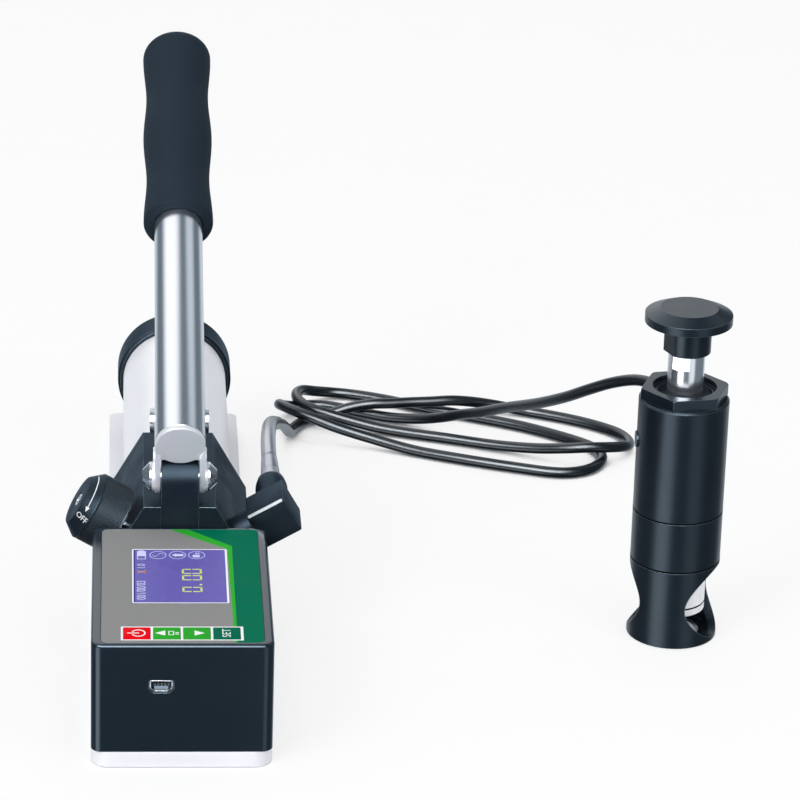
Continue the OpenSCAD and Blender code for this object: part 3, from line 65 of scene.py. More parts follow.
# The pump block's slopes, the release knob on the left one and the hose outlet on the right one
SLOPE = 60
KNOB_Y = 134
OUT_X, OUT_Y, OUT_Z = 41.06, 132.7, 55.10

# The actuator and the hose
ACT_X, ACT_Y = 218.4, 131.3
ACT_R = 19.75
HOSE_D = 5.2
SLEEVE_POINTS = [
    (OUT_X, 192, OUT_Z), (OUT_X, 199, OUT_Z), (41.2, 212, 55), (41.8, 226, 53.7), (42.9, 243, 50),
    (44.6, 261, 44), (47, 279, 36.4), (48.3, 288, 32.5)]
HOSE_POINTS = [
    (48.3, 288, 32.5), (49.6, 297, 28.6), (52.2, 315, 20), (54.4, 331, 11.5), (56.5, 344, 4.4),
    (60, 355, 2.6), (66.5, 363.5, 2.6), (75.5, 368, 3), (86, 369, 6.4), (97, 368.5, 8.8),
    (107, 369.5, 8.8), (117, 371, 8.8), (127, 372, 8.8), (138, 373.5, 8.8), (149, 376, 7),
    (161, 377.5, 4.5), (174, 375, 2.8), (187, 369.5, 2.6), (200, 362.5, 2.6), (211, 354.6, 2.6),
    (218.3, 347, 2.6), (221.8, 338, 2.8), (221, 328.5, 4.4), (216.5, 320.5, 7), (208.5, 315, 9),
    (199, 313.3, 9.6), (189, 316, 8), (175, 322.8, 5), (157, 331, 3), (137, 339, 2.6), (117, 346, 2.6),
    (101, 351.3, 3.2), (87, 355.6, 5.2), (74, 359, 8), (66, 364.2, 9.2), (61.8, 371.8, 9.6),
    (61.3, 380.5, 9.4), (64.6, 388.5, 7.8), (71, 394, 5), (79.5, 396.8, 3.2), (90, 395.6, 2.6),
    (105, 389.5, 2.6), (121, 381, 2.6), (137, 373, 2.6), (154, 364.8, 2.6), (171, 356, 2.6),
    (187, 345, 2.6), (199.5, 334.5, 2.6), (205.3, 326.7, 2.6), (207, 317.6, 2.6), (204, 308.6, 2.6),
    (197.5, 302, 2.6), (188.6, 299, 2.6), (179, 300, 2.6), (166, 304.4, 2.6), (151, 310, 2.6),
    (135, 316.5, 2.6), (116, 325, 2.8), (97, 333.5, 5), (80, 338.5, 8.6), (68.5, 343, 11.6),
    (59.8, 348.5, 13), (54.2, 356, 12.6), (52.2, 364.6, 10.2), (55.2, 373.4, 5.8), (61.5, 379.4, 3),
    (69.8, 381.8, 2.6), (79, 380, 2.6), (92.5, 373, 2.6), (107, 365.8, 2.8), (120, 359, 5),
    (131, 351.5, 9), (140, 341, 15), (148, 326, 22.5), (158, 301, 35.5), (169, 269, 51),
    (179, 243, 65), (188, 226, 76), (197, 213.5, 84.5), (206, 204.5, 89.6), (213, 197, 91),
    (217, 190.5, 90.4), (218.4, 185.25, 90), (218.4, 180.05, 90)]


def cos_of(degrees):
    return math.cos(math.radians(degrees))


def sin_of(degrees):
    return math.sin(math.radians(degrees))


# Camera at the photograph's place, fitted in degrees and metres for a frame of 800 pixels

PITCH, YAW, ROLL = 22.55, 4.10, 1.81
EYE = (-0.0268, -1.5649, 0.8159)
FOCAL_PX, FRAME_PX = 4260, 800


def make_camera():
    ahead = Vector((sin_of(YAW) * cos_of(PITCH), cos_of(YAW) * cos_of(PITCH), -sin_of(PITCH)))
    level = Vector((cos_of(YAW), -sin_of(YAW), 0))
    above = level.cross(ahead)
    right = cos_of(ROLL) * level + sin_of(ROLL) * above
    up = cos_of(ROLL) * above - sin_of(ROLL) * level
    data = bpy.data.cameras.new("camera")
    data.sensor_width = 36
    data.lens = FOCAL_PX / FRAME_PX * data.sensor_width
    data.clip_start = 0.05
    data.clip_end = 30
    camera = bpy.data.objects.new("camera", data)
    bpy.context.scene.collection.objects.link(camera)
    rows = [[right[i], up[i], -ahead[i], place] for i, place in enumerate(EYE)]
    camera.matrix_world = Matrix(rows + [[0, 0, 0, 1]])
    bpy.context.scene.camera = camera


make_camera()


# Materials, each from a few nodes in the piece's own metres

# Noise values lie mostly between these two
NOISE_SPAN = (0.3, 0.7)
# Sizes of the colour mottle, of the patches of painted edge highlight and of the bump grain
MOTTLE_MM, EDGE_PATCH_MM, BUMP_MM = 14, 1.2, 0.2
EDGE_GAIN = 5


class Shader:
    """A node tree with short calls for its usual nodes"""

    def __init__(self, tree):
        self.tree = tree

    def put(self, node, inputs):
        """Links a socket to, or sets a plain value at, each input that is given by its name or number"""
        for key, value in inputs.items():
            if isinstance(value, bpy.types.NodeSocket):
                self.tree.links.new(value, node.inputs[key])
            else:
                node.inputs[key].default_value = value

    def node(self, kind, inputs=None, **settings):
        made = self.tree.nodes.new("ShaderNode" + kind)
        for key, value in settings.items():
            setattr(made, key, value)
        self.put(made, inputs or {})
        return made

    def ramp(self, source, low, high, to_low=0.0, to_high=1.0, smooth=False):
        inputs = {"Value": source, "From Min": low, "From Max": high, "To Min": to_low, "To Max": to_high}
        made = self.node("MapRange", inputs, interpolation_type="SMOOTHSTEP" if smooth else "LINEAR")
        return made.outputs["Result"]

    def mix(self, share, first, second):
        """Colour between two sockets or plain colours"""
        first, second = ((*c, 1) if isinstance(c, tuple) else c for c in (first, second))
        return self.node("MixRGB", {"Fac": share, "Color1": first, "Color2": second}).outputs["Color"]

    def math(self, what, first, second=0.5):
        return self.node("Math", {0: first, 1: second}, operation=what).outputs[0]

    def dot(self, first, second):
        return self.node("VectorMath", {0: first, 1: second}, operation="DOT_PRODUCT").outputs["Value"]

    def split(self, vector):
        return self.node("SeparateXYZ", {0: vector}).outputs


class Finish(Shader):
    """The node tree of a new material, with the piece's own coordinates"""

    def __init__(self, name):
        self.material = bpy.data.materials.new(name)
        self.material.use_nodes = True
        super().__init__(self.material.node_tree)
        self.main = self.tree.nodes["Principled BSDF"]
        self.coords = self.node("TexCoord").outputs["Object"]

    def noise(self, size_mm, detail, stretch=(1, 1, 1)):
        scale = [s / (size_mm * MM) for s in stretch]
        mapped = self.node("Mapping", {"Vector": self.coords, "Scale": scale}).outputs[0]
        return self.node("TexNoise", {"Vector": mapped, "Scale": 1, "Detail": detail}).outputs["Fac"]

    def edge(self, radius_mm):
        """How near a point is to an edge, from 0 to 1, and the rounded normal"""
        bevel = self.node("Bevel", {"Radius": radius_mm * MM}, samples=6).outputs[0]
        flat = self.dot(bevel, self.node("NewGeometry").outputs["Normal"])
        near = self.math("MULTIPLY", self.math("SUBTRACT", 1.0, flat), EDGE_GAIN)
        return self.math("MINIMUM", near, 1.0), bevel


def srgb(r, g, b):
    """Photograph values from 0 to 255 as linear shares"""
    return tuple((v / 255 / 12.92) if v < 11 else ((v / 255 + 0.055) / 1.055) ** 2.4 for v in (r, g, b))


def finish_of(name, colour, rough, metal=0.0, spread=0.08, mottle=0.12, grain_mm=0.4, bump=0.05,
              stretch=(1, 1, 1), edge_mm=0.0, edge_highlight_colour=None, specular=0.5, tint=(1, 1, 1), fade=None):
    """Plain material with mottled colour, uneven gloss, a fine grain and, where an edge colour is given, a
    painted highlight in patches along its edges. Colours are photograph values; fade is (axis, start mm,
    end mm, colour) for one that comes in along the piece"""
    s = Finish(name)
    large = s.noise(MOTTLE_MM, 4)
    fine = s.noise(grain_mm, 2, stretch)
    dark = tuple(c * (1 - mottle) for c in srgb(*colour))
    light = tuple(min(1, c * (1 + mottle)) for c in srgb(*colour))
    base = s.mix(s.ramp(large, *NOISE_SPAN), dark, light)
    bumps = s.node("Bump", {"Strength": bump, "Distance": BUMP_MM * MM, "Height": fine})
    if edge_mm:
        near, normal = s.edge(edge_mm)
        s.put(bumps, {"Normal": normal})
        # Painted highlight: a light colour laid in patches along the edges
        if edge_highlight_colour:
            highlight_patches = s.math("MULTIPLY", near, s.ramp(s.noise(EDGE_PATCH_MM, 4), 0.2, 0.5))
            base = s.mix(highlight_patches, base, srgb(*edge_highlight_colour))
    if fade:
        axis, start, end, other = fade
        along = s.ramp(s.split(s.coords)[axis], start * MM, end * MM, smooth=True)
        base = s.mix(along, base, srgb(*other))
    gloss = s.math("ADD", s.ramp(large, *NOISE_SPAN, rough - spread, rough + spread),
                   s.ramp(fine, *NOISE_SPAN, -spread / 2, spread / 2))
    s.put(s.main, {"Base Color": base, "Metallic": metal, "Roughness": gloss, "Normal": bumps.outputs[0],
                   "Specular IOR Level": specular, "Specular Tint": (*tint, 1)})
    return s.material


COOL = (0.62, 0.82, 1.0)
# The case, block, fork and actuator finishes carry a painted highlight along their edges
MAT = {
    "plate": finish_of("plate_white_metal", (238, 238, 243), metal=0.1, rough=0.5, mottle=0.015,
                       grain_mm=0.5, bump=0.02, edge_mm=0.7),
    "case": finish_of("case_black_anodised", (20, 28, 36), rough=0.2, spread=0.01, mottle=0.05,
                      grain_mm=0.25, bump=0.03, edge_mm=0.6, edge_highlight_colour=(112, 130, 143), tint=COOL,
                      specular=0.65),
    "block": finish_of("block_black_anodised", (34, 43, 51), metal=0.6, rough=0.42, grain_mm=0.3,
                       bump=0.04, edge_mm=0.45, edge_highlight_colour=(130, 146, 158), tint=(0.4, 0.52, 0.65),
                       specular=0.3),
    "fastener": finish_of("fastener_zinc", (175, 178, 182), metal=1, rough=0.35, edge_mm=0.2),
    "panel": finish_of("panel_print", (136, 136, 136), rough=0.6, mottle=0.015, grain_mm=0.15,
                       bump=0.03, specular=0.03),
    "window": finish_of("window_glass", (100, 92, 172), rough=0.3, mottle=0.02, bump=0, specular=0.06),
    "board": finish_of("board_green", (20, 90, 60), rough=0.4),
    "cells": finish_of("cells_wrap", (40, 60, 110), rough=0.35),
    "bright": finish_of("bright_turned", (222, 224, 228), metal=1, rough=0.22, mottle=0.03,
                        grain_mm=0.25, bump=0.03, edge_mm=0.3),
    "tube": finish_of("tube_satin_chrome", (228, 230, 235), metal=0.97, rough=0.22, spread=0.01,
                      mottle=0.01, grain_mm=0.3, bump=0.005),
    "fork": finish_of("fork_satin_steel", (222, 224, 230), metal=0.25, rough=0.4, mottle=0.02,
                      grain_mm=0.3, bump=0.02, edge_mm=0.5, edge_highlight_colour=(245, 246, 250)),
    "foam": finish_of("foam_skin", (24, 33, 42), rough=0.75, mottle=0.15, grain_mm=0.45, bump=0.6,
                      specular=0.2, tint=COOL),
    "reservoir": finish_of("reservoir_brushed", (246, 246, 250), metal=0.15, rough=0.4, mottle=0.015,
                           grain_mm=0.4, stretch=(1, 0.03, 1), bump=0.03, edge_mm=0.3),
    "rubber": finish_of("hose_rubber", (6, 8, 10), rough=0.3, spread=0.01, mottle=0.05, grain_mm=0.8,
                        bump=0.003, specular=0.8, tint=(0.85, 0.93, 1)),
    # Painted reflection: light grey near the outlet, fading to near-black along Y
    "sleeve": finish_of("sleeve_painted_reflection", (182, 182, 190), metal=0.9, rough=0.3, spread=0.02, mottle=0.01,
                        grain_mm=0.8, bump=0, fade=("Y", 215, 272, (26, 31, 37))),
    "brass": finish_of("brass_turned", (190, 155, 85), metal=1, rough=0.3),
    "steel": finish_of("steel_turned", (236, 237, 242), metal=0.94, rough=0.2, spread=0.01,
                       mottle=0.01, bump=0.005),
    "coupler": finish_of("coupler_ground", (252, 252, 254), metal=0.1, rough=0.3, spread=0.02,
                         mottle=0.01, bump=0.01, edge_mm=0.3),
    # Painted shade for the joints of the actuator and the coupler
    "seam": finish_of("seam_painted_shade", (4, 5, 6), rough=0.7, specular=0.05, bump=0.02),
    "fitting": finish_of("fitting_nickel", (176, 178, 186), metal=0.95, rough=0.3, spread=0.01,
                         mottle=0.01, bump=0.005),
    "actuator": finish_of("actuator_black_oxide", (14, 19, 26), rough=0.31, spread=0.02, mottle=0.08,
                          grain_mm=0.3, bump=0.02, edge_mm=0.4, edge_highlight_colour=(110, 127, 140), tint=COOL,
                          specular=0.6),
}
for hue, values in (("red", (228, 5, 22)), ("green", (44, 160, 44)), ("dark", (0, 100, 75))):
    MAT["key_" + hue] = finish_of("key_" + hue + "_cap", values, rough=0.5, mottle=0.03, bump=0.02,
                                  specular=0.02)


# Inks

def ink(name, colour):
    return finish_of(name, colour, rough=0.5, mottle=0.02, bump=0.01, specular=0.015)


INK = {
    "white": ink("ink_white", (238, 240, 242)),
    "green": ink("ink_bright_green", (50, 168, 50)),
    "dark": ink("ink_dark_green", (0, 105, 77)),
    "pale": ink("display_pale_marks", (205, 210, 245)),
    "yellow": ink("display_yellow_marks", (215, 225, 130)),
    "orange": ink("display_orange_mark", (225, 160, 120)),
    "deep": ink("display_dark_marks", (60, 50, 130)),
    # Near-white bare metal for the elbow's top front edge, which serves as a painted highlight
    "edge": finish_of("bare_edge_painted_highlight", (235, 238, 242), metal=0.5, rough=0.3, mottle=0.02, bump=0.01),
}


# Frames of the turned and tilted pieces

def frame_at(x, y, z):
    return Matrix.Translation(Vector((x, y, z)) * MM)


def turned(degrees, axis):
    return Matrix.Rotation(math.radians(degrees), 4, axis)


def on_slope(side, along, y):
    """Frame square to a slope of the pump block, at a way down it from its upper edge"""
    x = 15.6 + along * cos_of(SLOPE)
    z = 65 - along * sin_of(SLOPE)
    return frame_at(side * x, y, z) @ turned(side * SLOPE, "Y")


ALONG_Y = turned(-90, "X")
FACING_FRONT = turned(90, "X")
ON_LEVER = frame_at(*PIVOT) @ turned(LEVER_TILT, "X")
ON_ACTUATOR = frame_at(ACT_X, ACT_Y, 0)
ON_KNOB = on_slope(-1, 17.5, KNOB_Y)
ON_ELBOW = on_slope(1, 21.3, OUT_Y)


# Mesh helpers, all in mm until a piece is made

# Degrees between two faces from which their edge stays sharp
SHARP = 35


def link_object(name, data, matrix=None):
    made = bpy.data.objects.new(name, data)
    bpy.context.scene.collection.objects.link(made)
    if matrix is not None:
        made.matrix_world = matrix
    return made


def shade(data, angle):
    data.shade_smooth()
    data.set_sharp_from_angle(angle=math.radians(angle))


def mesh_piece(name, bm, matrix, angle=SHARP):
    bmesh.ops.recalc_face_normals(bm, faces=bm.faces)
    data = bpy.data.meshes.new(name)
    bm.to_mesh(data)
    bm.free()
    shade(data, angle)
    return link_object(name, data, matrix)


def skin(name, rings, matrix=None, angle=SHARP, ends="capped"):
    """Surface over rings of points, with capped, open or joined ends; a ring of one point is a tip"""
    bm = bmesh.new()
    loops = [[bm.verts.new([c * MM for c in point]) for point in ring] for ring in rings]
    if ends == "joined":
        loops.append(loops[0])
    for first, second in zip(loops, loops[1:]):
        for k in range(max(len(first), len(second))):
            corners = (first[k % len(first)], first[(k + 1) % len(first)],
                       second[(k + 1) % len(second)], second[k % len(second)])
            bm.faces.new(list(dict.fromkeys(corners)))
    if ends == "capped":
        bm.faces.new(loops[0][::-1])
        bm.faces.new(loops[-1])
    return mesh_piece(name, bm, matrix, angle)


def loose_faces(shapes):
    """Separate faces, each from its own points"""
    bm = bmesh.new()
    for shape in shapes:
        bm.faces.new([bm.verts.new([c * MM for c in point]) for point in shape])
    return bm


def angles_round(count):
    return [2 * math.pi * k / count for k in range(count)]


def arc(cx, cy, r, start, end, steps, r_y=None):
    """Points on a circle, or on an ellipse where r_y is given, between angles in degrees"""
    turns = [start + (end - start) * k / steps for k in range(steps + 1)]
    return [(cx + r * cos_of(a), cy + (r_y or r) * sin_of(a)) for a in turns]


def rect(x0, y0, x1, y1):
    return [(x0, y0), (x1, y0), (x1, y1), (x0, y1)]


def round_rect(x0, y0, x1, y1, r):
    steps = 6
    return (arc(x1 - r, y0 + r, r, -90, 0, steps) + arc(x1 - r, y1 - r, r, 0, 90, steps)
            + arc(x0 + r, y1 - r, r, 90, 180, steps) + arc(x0 + r, y0 + r, r, 180, 270, steps))


def offset_rect(x0, y0, x1, y1, r, inset):
    return round_rect(x0 + inset, y0 + inset, x1 - inset, y1 - inset, max(0.1, r - inset))


def rounded(points):
    """A path whose corners (x, y, radius) turn in small curves"""
    steps = 4
    out = []
    for i, point in enumerate(points):
        r = point[2] if len(point) > 2 else 0
        here = Vector(point[:2])
        if not r or i in (0, len(points) - 1):
            out.append(tuple(here))
            continue
        before, after = Vector(points[i - 1][:2]), Vector(points[i + 1][:2])
        start = here + (before - here).normalized() * min(r, (before - here).length / 2)
        end = here + (after - here).normalized() * min(r, (after - here).length / 2)
        for t in (k / steps for k in range(steps + 1)):
            out.append(tuple((1 - t) ** 2 * start + 2 * t * (1 - t) * here + t * t * end))
    return out


def lathe(name, profile, matrix, sides):
    """Surface of revolution on its local Z axis, from (radius, height, corner radius) points"""
    turns = angles_round(sides)
    rings = [[(r * math.cos(a), r * math.sin(a), z) for a in turns] if r > 1e-4 else [(0, 0, z)]
             for r, z in rounded(profile)]
    return skin(name, rings, matrix, ends="open")


def loft(name, sections, matrix=None, angle=SHARP):
    """Closed solid through outlines of equal point counts, as a list of (height, outline)"""
    return skin(name, [[(x, y, z) for x, y in outline] for z, outline in sections], matrix, angle)


def cut_with(piece, cutters):
    """Cuts solids out of a piece and keeps the result as its mesh"""
    for cutter in cutters:
        change = piece.modifiers.new("cut", "BOOLEAN")
        change.operation = "DIFFERENCE"
        change.solver = "EXACT"
        change.object = cutter
    bpy.context.view_layer.update()
    whole = piece.evaluated_get(bpy.context.evaluated_depsgraph_get())
    piece.data = bpy.data.meshes.new_from_object(whole)
    piece.modifiers.clear()
    for cutter in cutters:
        bpy.data.objects.remove(cutter)
    shade(piece.data, SHARP)
    return piece


def soften(piece, width_mm):
    """Rounds the sharp edges of a piece"""
    bevel = piece.modifiers.new("soft_edges", "BEVEL")
    bevel.width = width_mm * MM
    bevel.segments = 3
    bevel.limit_method = "ANGLE"
    bevel.angle_limit = math.radians(SHARP)
    bevel.harden_normals = True
    return piece


def decal(name, shapes, height, matrix=None):
    """Thin print: flat faces just over a surface"""
    bm = loose_faces([[(x, y, height) for x, y in shape] for shape in shapes])
    data = bpy.data.meshes.new(name)
    bm.to_mesh(data)
    bm.free()
    return link_object(name, data, matrix)


def band(outer, inner):
    """Faces between two closed outlines of equal point counts"""
    count = len(outer)
    return [[outer[k], outer[(k + 1) % count], inner[(k + 1) % count], inner[k]] for k in range(count)]


def lettering(name, text, size, place, stretch=1.0):
    """Flat letters that read along +Y, with their tops towards -X; place is the middle of the line"""
    data = bpy.data.curves.new(name + "_font", "FONT")
    data.body = text
    data.size = size * MM
    data.align_x = "CENTER"
    data.align_y = "CENTER"
    font = link_object(name + "_font", data)
    bpy.context.view_layer.update()
    flat = bpy.data.meshes.new_from_object(font.evaluated_get(bpy.context.evaluated_depsgraph_get()))
    bpy.data.objects.remove(font)
    x, y, z = place
    for v in flat.vertices:
        v.co = (x * MM - v.co.y, y * MM + v.co.x * stretch, z * MM)
    return link_object(name, flat)


def ready(piece, body, slot_name, *replaced, material=None):
    """Gives a piece its slot's material unless it has one or another is given, puts it on its body, and
    hides the CAD nodes it stands for
    """
    if material or not piece.data.materials:
        piece.data.materials.clear()
        piece.data.materials.append(material or MAT[slot_name])
    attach(piece, body)
    if replaced:
        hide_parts(*replaced)
    return piece


def printed(piece, slot_name, ink_name, body="pump_set"):
    """Gives a print its ink, and the body of the surface that it lies on; the slot is not used"""
    ready(piece, body, slot_name, material=INK[ink_name])


# Hose, first of the pieces

def curve_points(points, per_span):
    """Smooth curve through points, with equal steps between each two, as a list of vectors in mm"""
    pts = [Vector(p) for p in points]
    pts = [2 * pts[0] - pts[1]] + pts + [2 * pts[-1] - pts[-2]]
    out = []
    for i in range(1, len(pts) - 2):
        p0, p1, p2, p3 = pts[i - 1:i + 3]
        for t in (k / per_span for k in range(per_span)):
            out.append(0.5 * (2 * p1 + (p2 - p0) * t + (2 * p0 - 5 * p1 + 4 * p2 - p3) * t * t
                              + (3 * p1 - p0 - 3 * p2 + p3) * t ** 3))
    out.append(pts[-2])
    return out


def make_hose():
    """Round hose along its points, nowhere below the floor"""
    route = curve_points(SLEEVE_POINTS[:-1] + HOSE_POINTS, 4)
    for p in route:
        p.z = max(p.z, HOSE_D / 2)
    data = bpy.data.curves.new("test_hose", "CURVE")
    data.dimensions = "3D"
    spline = data.splines.new("POLY")
    spline.points.add(len(route) - 1)
    for point, place in zip(spline.points, route):
        point.co = (*(place * MM), 1)
    data.bevel_depth = HOSE_D / 2 * MM
    data.bevel_resolution = 10
    data.use_fill_caps = True
    return link_object("test_hose", data)


def make_sleeve():
    """Sleeve that narrows along the start of the hose, with a smaller mouth at each end"""
    route = curve_points(SLEEVE_POINTS, 5)
    last = len(route) - 1
    radii = [3.1] + [3.5 - 0.35 * (i / last) for i in range(1, last)] + [2.9]
    turns = angles_round(24)
    rings = []
    side = Vector((1, 0, 0))
    for i, (p, r) in enumerate(zip(route, radii)):
        ahead = (route[min(i + 1, last)] - route[max(i - 1, 0)]).normalized()
        side = (side - ahead * side.dot(ahead)).normalized()
        over = ahead.cross(side)
        rings.append([p + r * (math.cos(a) * side + math.sin(a) * over) for a in turns])
    return skin("hose_bend_sleeve", rings)


hose = make_hose()
ready(hose, "pump_set", "rubber", "hose")
sleeve = ready(make_sleeve(), "pump_set", "sleeve", "bend_sleeve")


# Display box

def make_box():
    """Box with a round upper edge, and cuts for the panel, the keys, the window and the socket"""
    corner, edge_r = 4.5, 1.4
    sections = [(7, offset_rect(*BOX, corner, 0.3)), (7.3, offset_rect(*BOX, corner, 0))]
    sections += [(TOP_Z - edge_r + edge_r * sin_of(a), offset_rect(*BOX, corner, edge_r * (1 - cos_of(a))))
                 for a in range(0, 91, 15)]
    recess = (PANEL[0] - 0.1, PANEL[1] - 0.1, PANEL[2] + 0.1, PANEL[3] + 0.1)
    sections += [(TOP_Z - depth, offset_rect(*recess, 3, inset))
                 for depth, inset in ((0, -0.2), (0.15, 0), (0.8, 0))]
    mouth = [(-13.2, 39.9), (-4.2, 39.9), (-3.6, 39.2), (-3.6, 36.1), (-5.4, 34.2), (-12.0, 34.2),
             (-13.8, 36.1), (-13.8, 39.2)]
    wells = [loft("cut_keys", [(z, rect(-24.45, 5.3, 29.85, 16.8)) for z in (50, 60)]),
             loft("cut_window", [(z, rect(-20.8, 39.9, 20, 94.1)) for z in (50, 60)]),
             loft("cut_socket", [(z, mouth) for z in (-3, 2.6)], FACING_FRONT)]
    return cut_with(loft("display_box", sections), wells)


def make_socket():
    """Metal mouth of the data socket, its dark back, tongue and contacts"""
    outer = [(-13.0, 39.6), (-4.4, 39.6), (-3.9, 39.1), (-3.9, 36.2), (-5.5, 34.5), (-11.9, 34.5),
             (-13.5, 36.2), (-13.5, 39.1)]
    middle_x, middle_z = -8.7, 37.05
    inner = [(middle_x + (x - middle_x) * 0.88, middle_z + (z - middle_z) * 0.8) for x, z in outer]
    rings = [[(x, z, -y) for x, z in loop]
             for y, loop in ((0.5, outer), (0.35, inner), (5.5, inner), (5.5, outer))]
    ready(skin("socket_shell", rings, FACING_FRONT, ends="joined"), "pump_set", "bright", "usb_socket")
    back = loose_faces([[(x, z, -5.4) for x, z in outer]])
    ready(mesh_piece("socket_back", back, FACING_FRONT), "pump_set", "rubber")
    tongue = [(z, rect(-12.2, 36.8, -5.2, 38.2)) for z in (-5.3, -1.2)]
    ready(loft("socket_tongue", tongue, FACING_FRONT), "pump_set", "rubber")
    contacts = [rect(-11.6 + 1.4 * k, 36.9, -11.0 + 1.4 * k, 38.1) for k in range(5)]
    ready(decal("socket_contacts", contacts, -1.18, FACING_FRONT), "pump_set", "bright")


def make_print():
    """Colours printed on the panel, and the white frames of the keys and the window"""
    stripe = [(-4.5, 114.4), (20.1, 94.1), (21.2, 2.4), (22.4, 2.4), (22.1, 97.3), (3.6, 114.4)]
    printed(decal("print_stripe", [stripe[:2] + stripe[4:], stripe[1:5]], TOP_Z + 0.02), "panel", "green")
    x1, y0, y1 = PANEL[2] - 0.02, PANEL[1] + 0.02, PANEL[3] - 0.02
    side = [(22.4, y0)] + arc(x1 - 3, y0 + 3, 3, -90, 0, 8) + arc(x1 - 3, y1 - 3, 3, 0, 90, 8) + [
        (3.6, y1), (22.1, 97.3)]
    printed(decal("print_side", [side], TOP_Z + 0.015), "panel", "dark")

    left, low, right, high = -25.3, 4.6, 24.9, 17.6
    gap = 0.1
    key_low, key_high = KEY_Y - gap, KEY_Y + KEY_SIDE + gap
    lines = [KEY_X + KEY_PITCH * k + s * (KEY_SIDE / 2 + gap) for k in range(4) for s in (-1, 1)]
    bars = [rect(a, key_low, b, key_high) for a, b in zip([left] + lines[1::2], lines[0::2] + [right])]
    bars += [rect(left, low, right, key_low), rect(left, key_high, right, high)]
    printed(decal("print_key_frame", bars, TOP_Z + 0.03), "panel", "white")
    edge = band(round_rect(-20.65, 40.05, 19.85, 93.95, 0.9), round_rect(-20.0, 40.7, 18.95, 93.3, 0.5))
    printed(decal("print_window_frame", edge, TOP_Z + 0.03), "window", "white")


def digit_bars(x_top, y_left):
    """The six lit bars of a nought that reads along +Y with its top towards -X"""
    high, wide, thick = 8.4, 5.0, 0.85
    gap, half = thick * 0.35, high / 2
    runs = ((gap, wide - gap, 0, thick), (wide - thick, wide, gap, half - gap),
            (wide - thick, wide, half + gap, high - gap), (gap, wide - gap, high - thick, high),
            (0, thick, half + gap, high - gap), (0, thick, gap, half - gap))
    return [rect(x_top + x0, y_left + y0, x_top + x1, y_left + y1) for y0, y1, x0, x1 in runs]


def make_display():
    """Marks of the lit display, just over its window"""
    z, line_x, ring_y = TOP_Z + 0.02, -16.6, 87.9
    digits = [bar for y in (51.0, 62.6, 68.9) for bar in digit_bars(0.4, y)] + [rect(7.7, 57.6, 8.8, 58.9)]
    mark = [rect(-18.6, 70.6, -14.8, 71.5), rect(-15.6, 69.6, -14.8, 72.5), rect(-18.6, 70.0, -17.9, 72.1)]
    cell = band(rect(-18.5, 83.6, -14.7, 91.8), rect(-18.1, 84.2, -15.1, 91.2)) + [
        rect(-18.1, 86.8, -15.1, 91.2), rect(-17.6, 91.8, -15.6, 92.6)]
    rings = [face for x in (-9.6, -1.3, 6.9)
             for face in band(arc(x, ring_y, 3.6, 0, 351, 39, 4.0), arc(x, ring_y, 3.25, 0, 351, 39, 3.6))]
    wave = [(-9.6 + 2.4 * t, ring_y + 1.6 * math.sin(3.1 * t)) for t in (n / 12 - 1 for n in range(25))]
    signs = [[a, b, (b[0], b[1] + 0.5), (a[0], a[1] + 0.5)] for a, b in zip(wave, wave[1:])]
    signs += [[(-3.8, 87.9), (-1.9, 86.2), (-1.9, 89.6)], rect(-1.9, 86.8, 1.2, 89.0)]
    signs += [rect(5.2, 85.6, 8.2, 88.2), rect(6.4, 88.8, 7.0, 90.4), rect(7.4, 88.8, 8.0, 90.4)]
    edge = [rect(-20.0, 40.7, -19.4, 93.3)]
    for piece, ink_name in ((decal("display_digits", digits, z), "yellow"),
                            (lettering("display_count", "001/00/03", 5.4, (line_x, 52.8, z), 0.86), "pale"),
                            (decal("display_mark", mark, z), "orange"),
                            (lettering("display_scale", "1.0", 4.6, (line_x, 76.6, z), 0.9), "pale"),
                            (decal("display_cell", cell, z), "pale"),
                            (decal("display_rings", rings, z), "pale"),
                            (decal("display_signs", signs, z), "pale"),
                            (decal("display_edge", edge, z), "deep")):
        printed(piece, "window", ink_name)


def make_keys():
    """Four square caps, each on its own body, with their signs in white"""
    top = TOP_Z + 0.25
    sign_z = top + 0.02
    ring_out, ring_in = (arc(0.6, 5.5, r, 205, 515, 30, r_y) for r, r_y in ((3.0, 3.3), (2.4, 2.6)))
    power = [[a, b, d, c] for a, b, c, d in zip(ring_out, ring_out[1:], ring_in, ring_in[1:])]
    power.append(rect(-3.9, 5.15, 0.9, 5.85))
    up = [[(-4.9, 5.55), (-0.7, 3.2), (-0.7, 7.9)]]
    up += band(rect(0.6, 3.6, 2.9, 7.4), rect(1.0, 4.1, 2.5, 6.9))
    up += [rect(3.4, 4.2, 4.9, 4.9), rect(3.4, 5.5, 4.9, 6.2)]
    down = [[(3.2, 5.55), (-1.0, 3.2), (-1.0, 7.9)]]
    for k, (name, slot_name, shapes) in enumerate((("power", "key_red", power), ("up", "key_green", up),
                                                   ("down", "key_green", down), ("set", "key_dark", []))):
        x = KEY_X + KEY_PITCH * k
        place = (x - KEY_SIDE / 2, KEY_Y, x + KEY_SIDE / 2, KEY_Y + KEY_SIDE)
        sections = [(top - depth, offset_rect(*place, 0.7, inset))
                    for depth, inset in ((1.2, 0), (0.2, 0), (0.07, 0.05), (0, 0.2))]
        node_name, body = "key_" + name, name + "_key"
        ready(loft(node_name + "_cap", sections), body, slot_name, node_name)
        if shapes:
            moved = [[(x + a, KEY_Y + b) for a, b in shape] for shape in shapes]
            printed(decal(node_name + "_sign", moved, sign_z), slot_name, "white", body)
    letters = lettering("key_set_sign", "SET", 5.0, (KEY_X + 3 * KEY_PITCH, KEY_Y + 5.6, sign_z))
    printed(letters, "key_dark", "white", "set_key")


ready(make_box(), "pump_set", "case", "display_housing")
make_socket()
make_print()
make_display()
make_keys()


# Lever

# Where the lever tube starts along the lever, and the foam grip
TUBE_Y, GRIP_Y = -2.3, 132.7


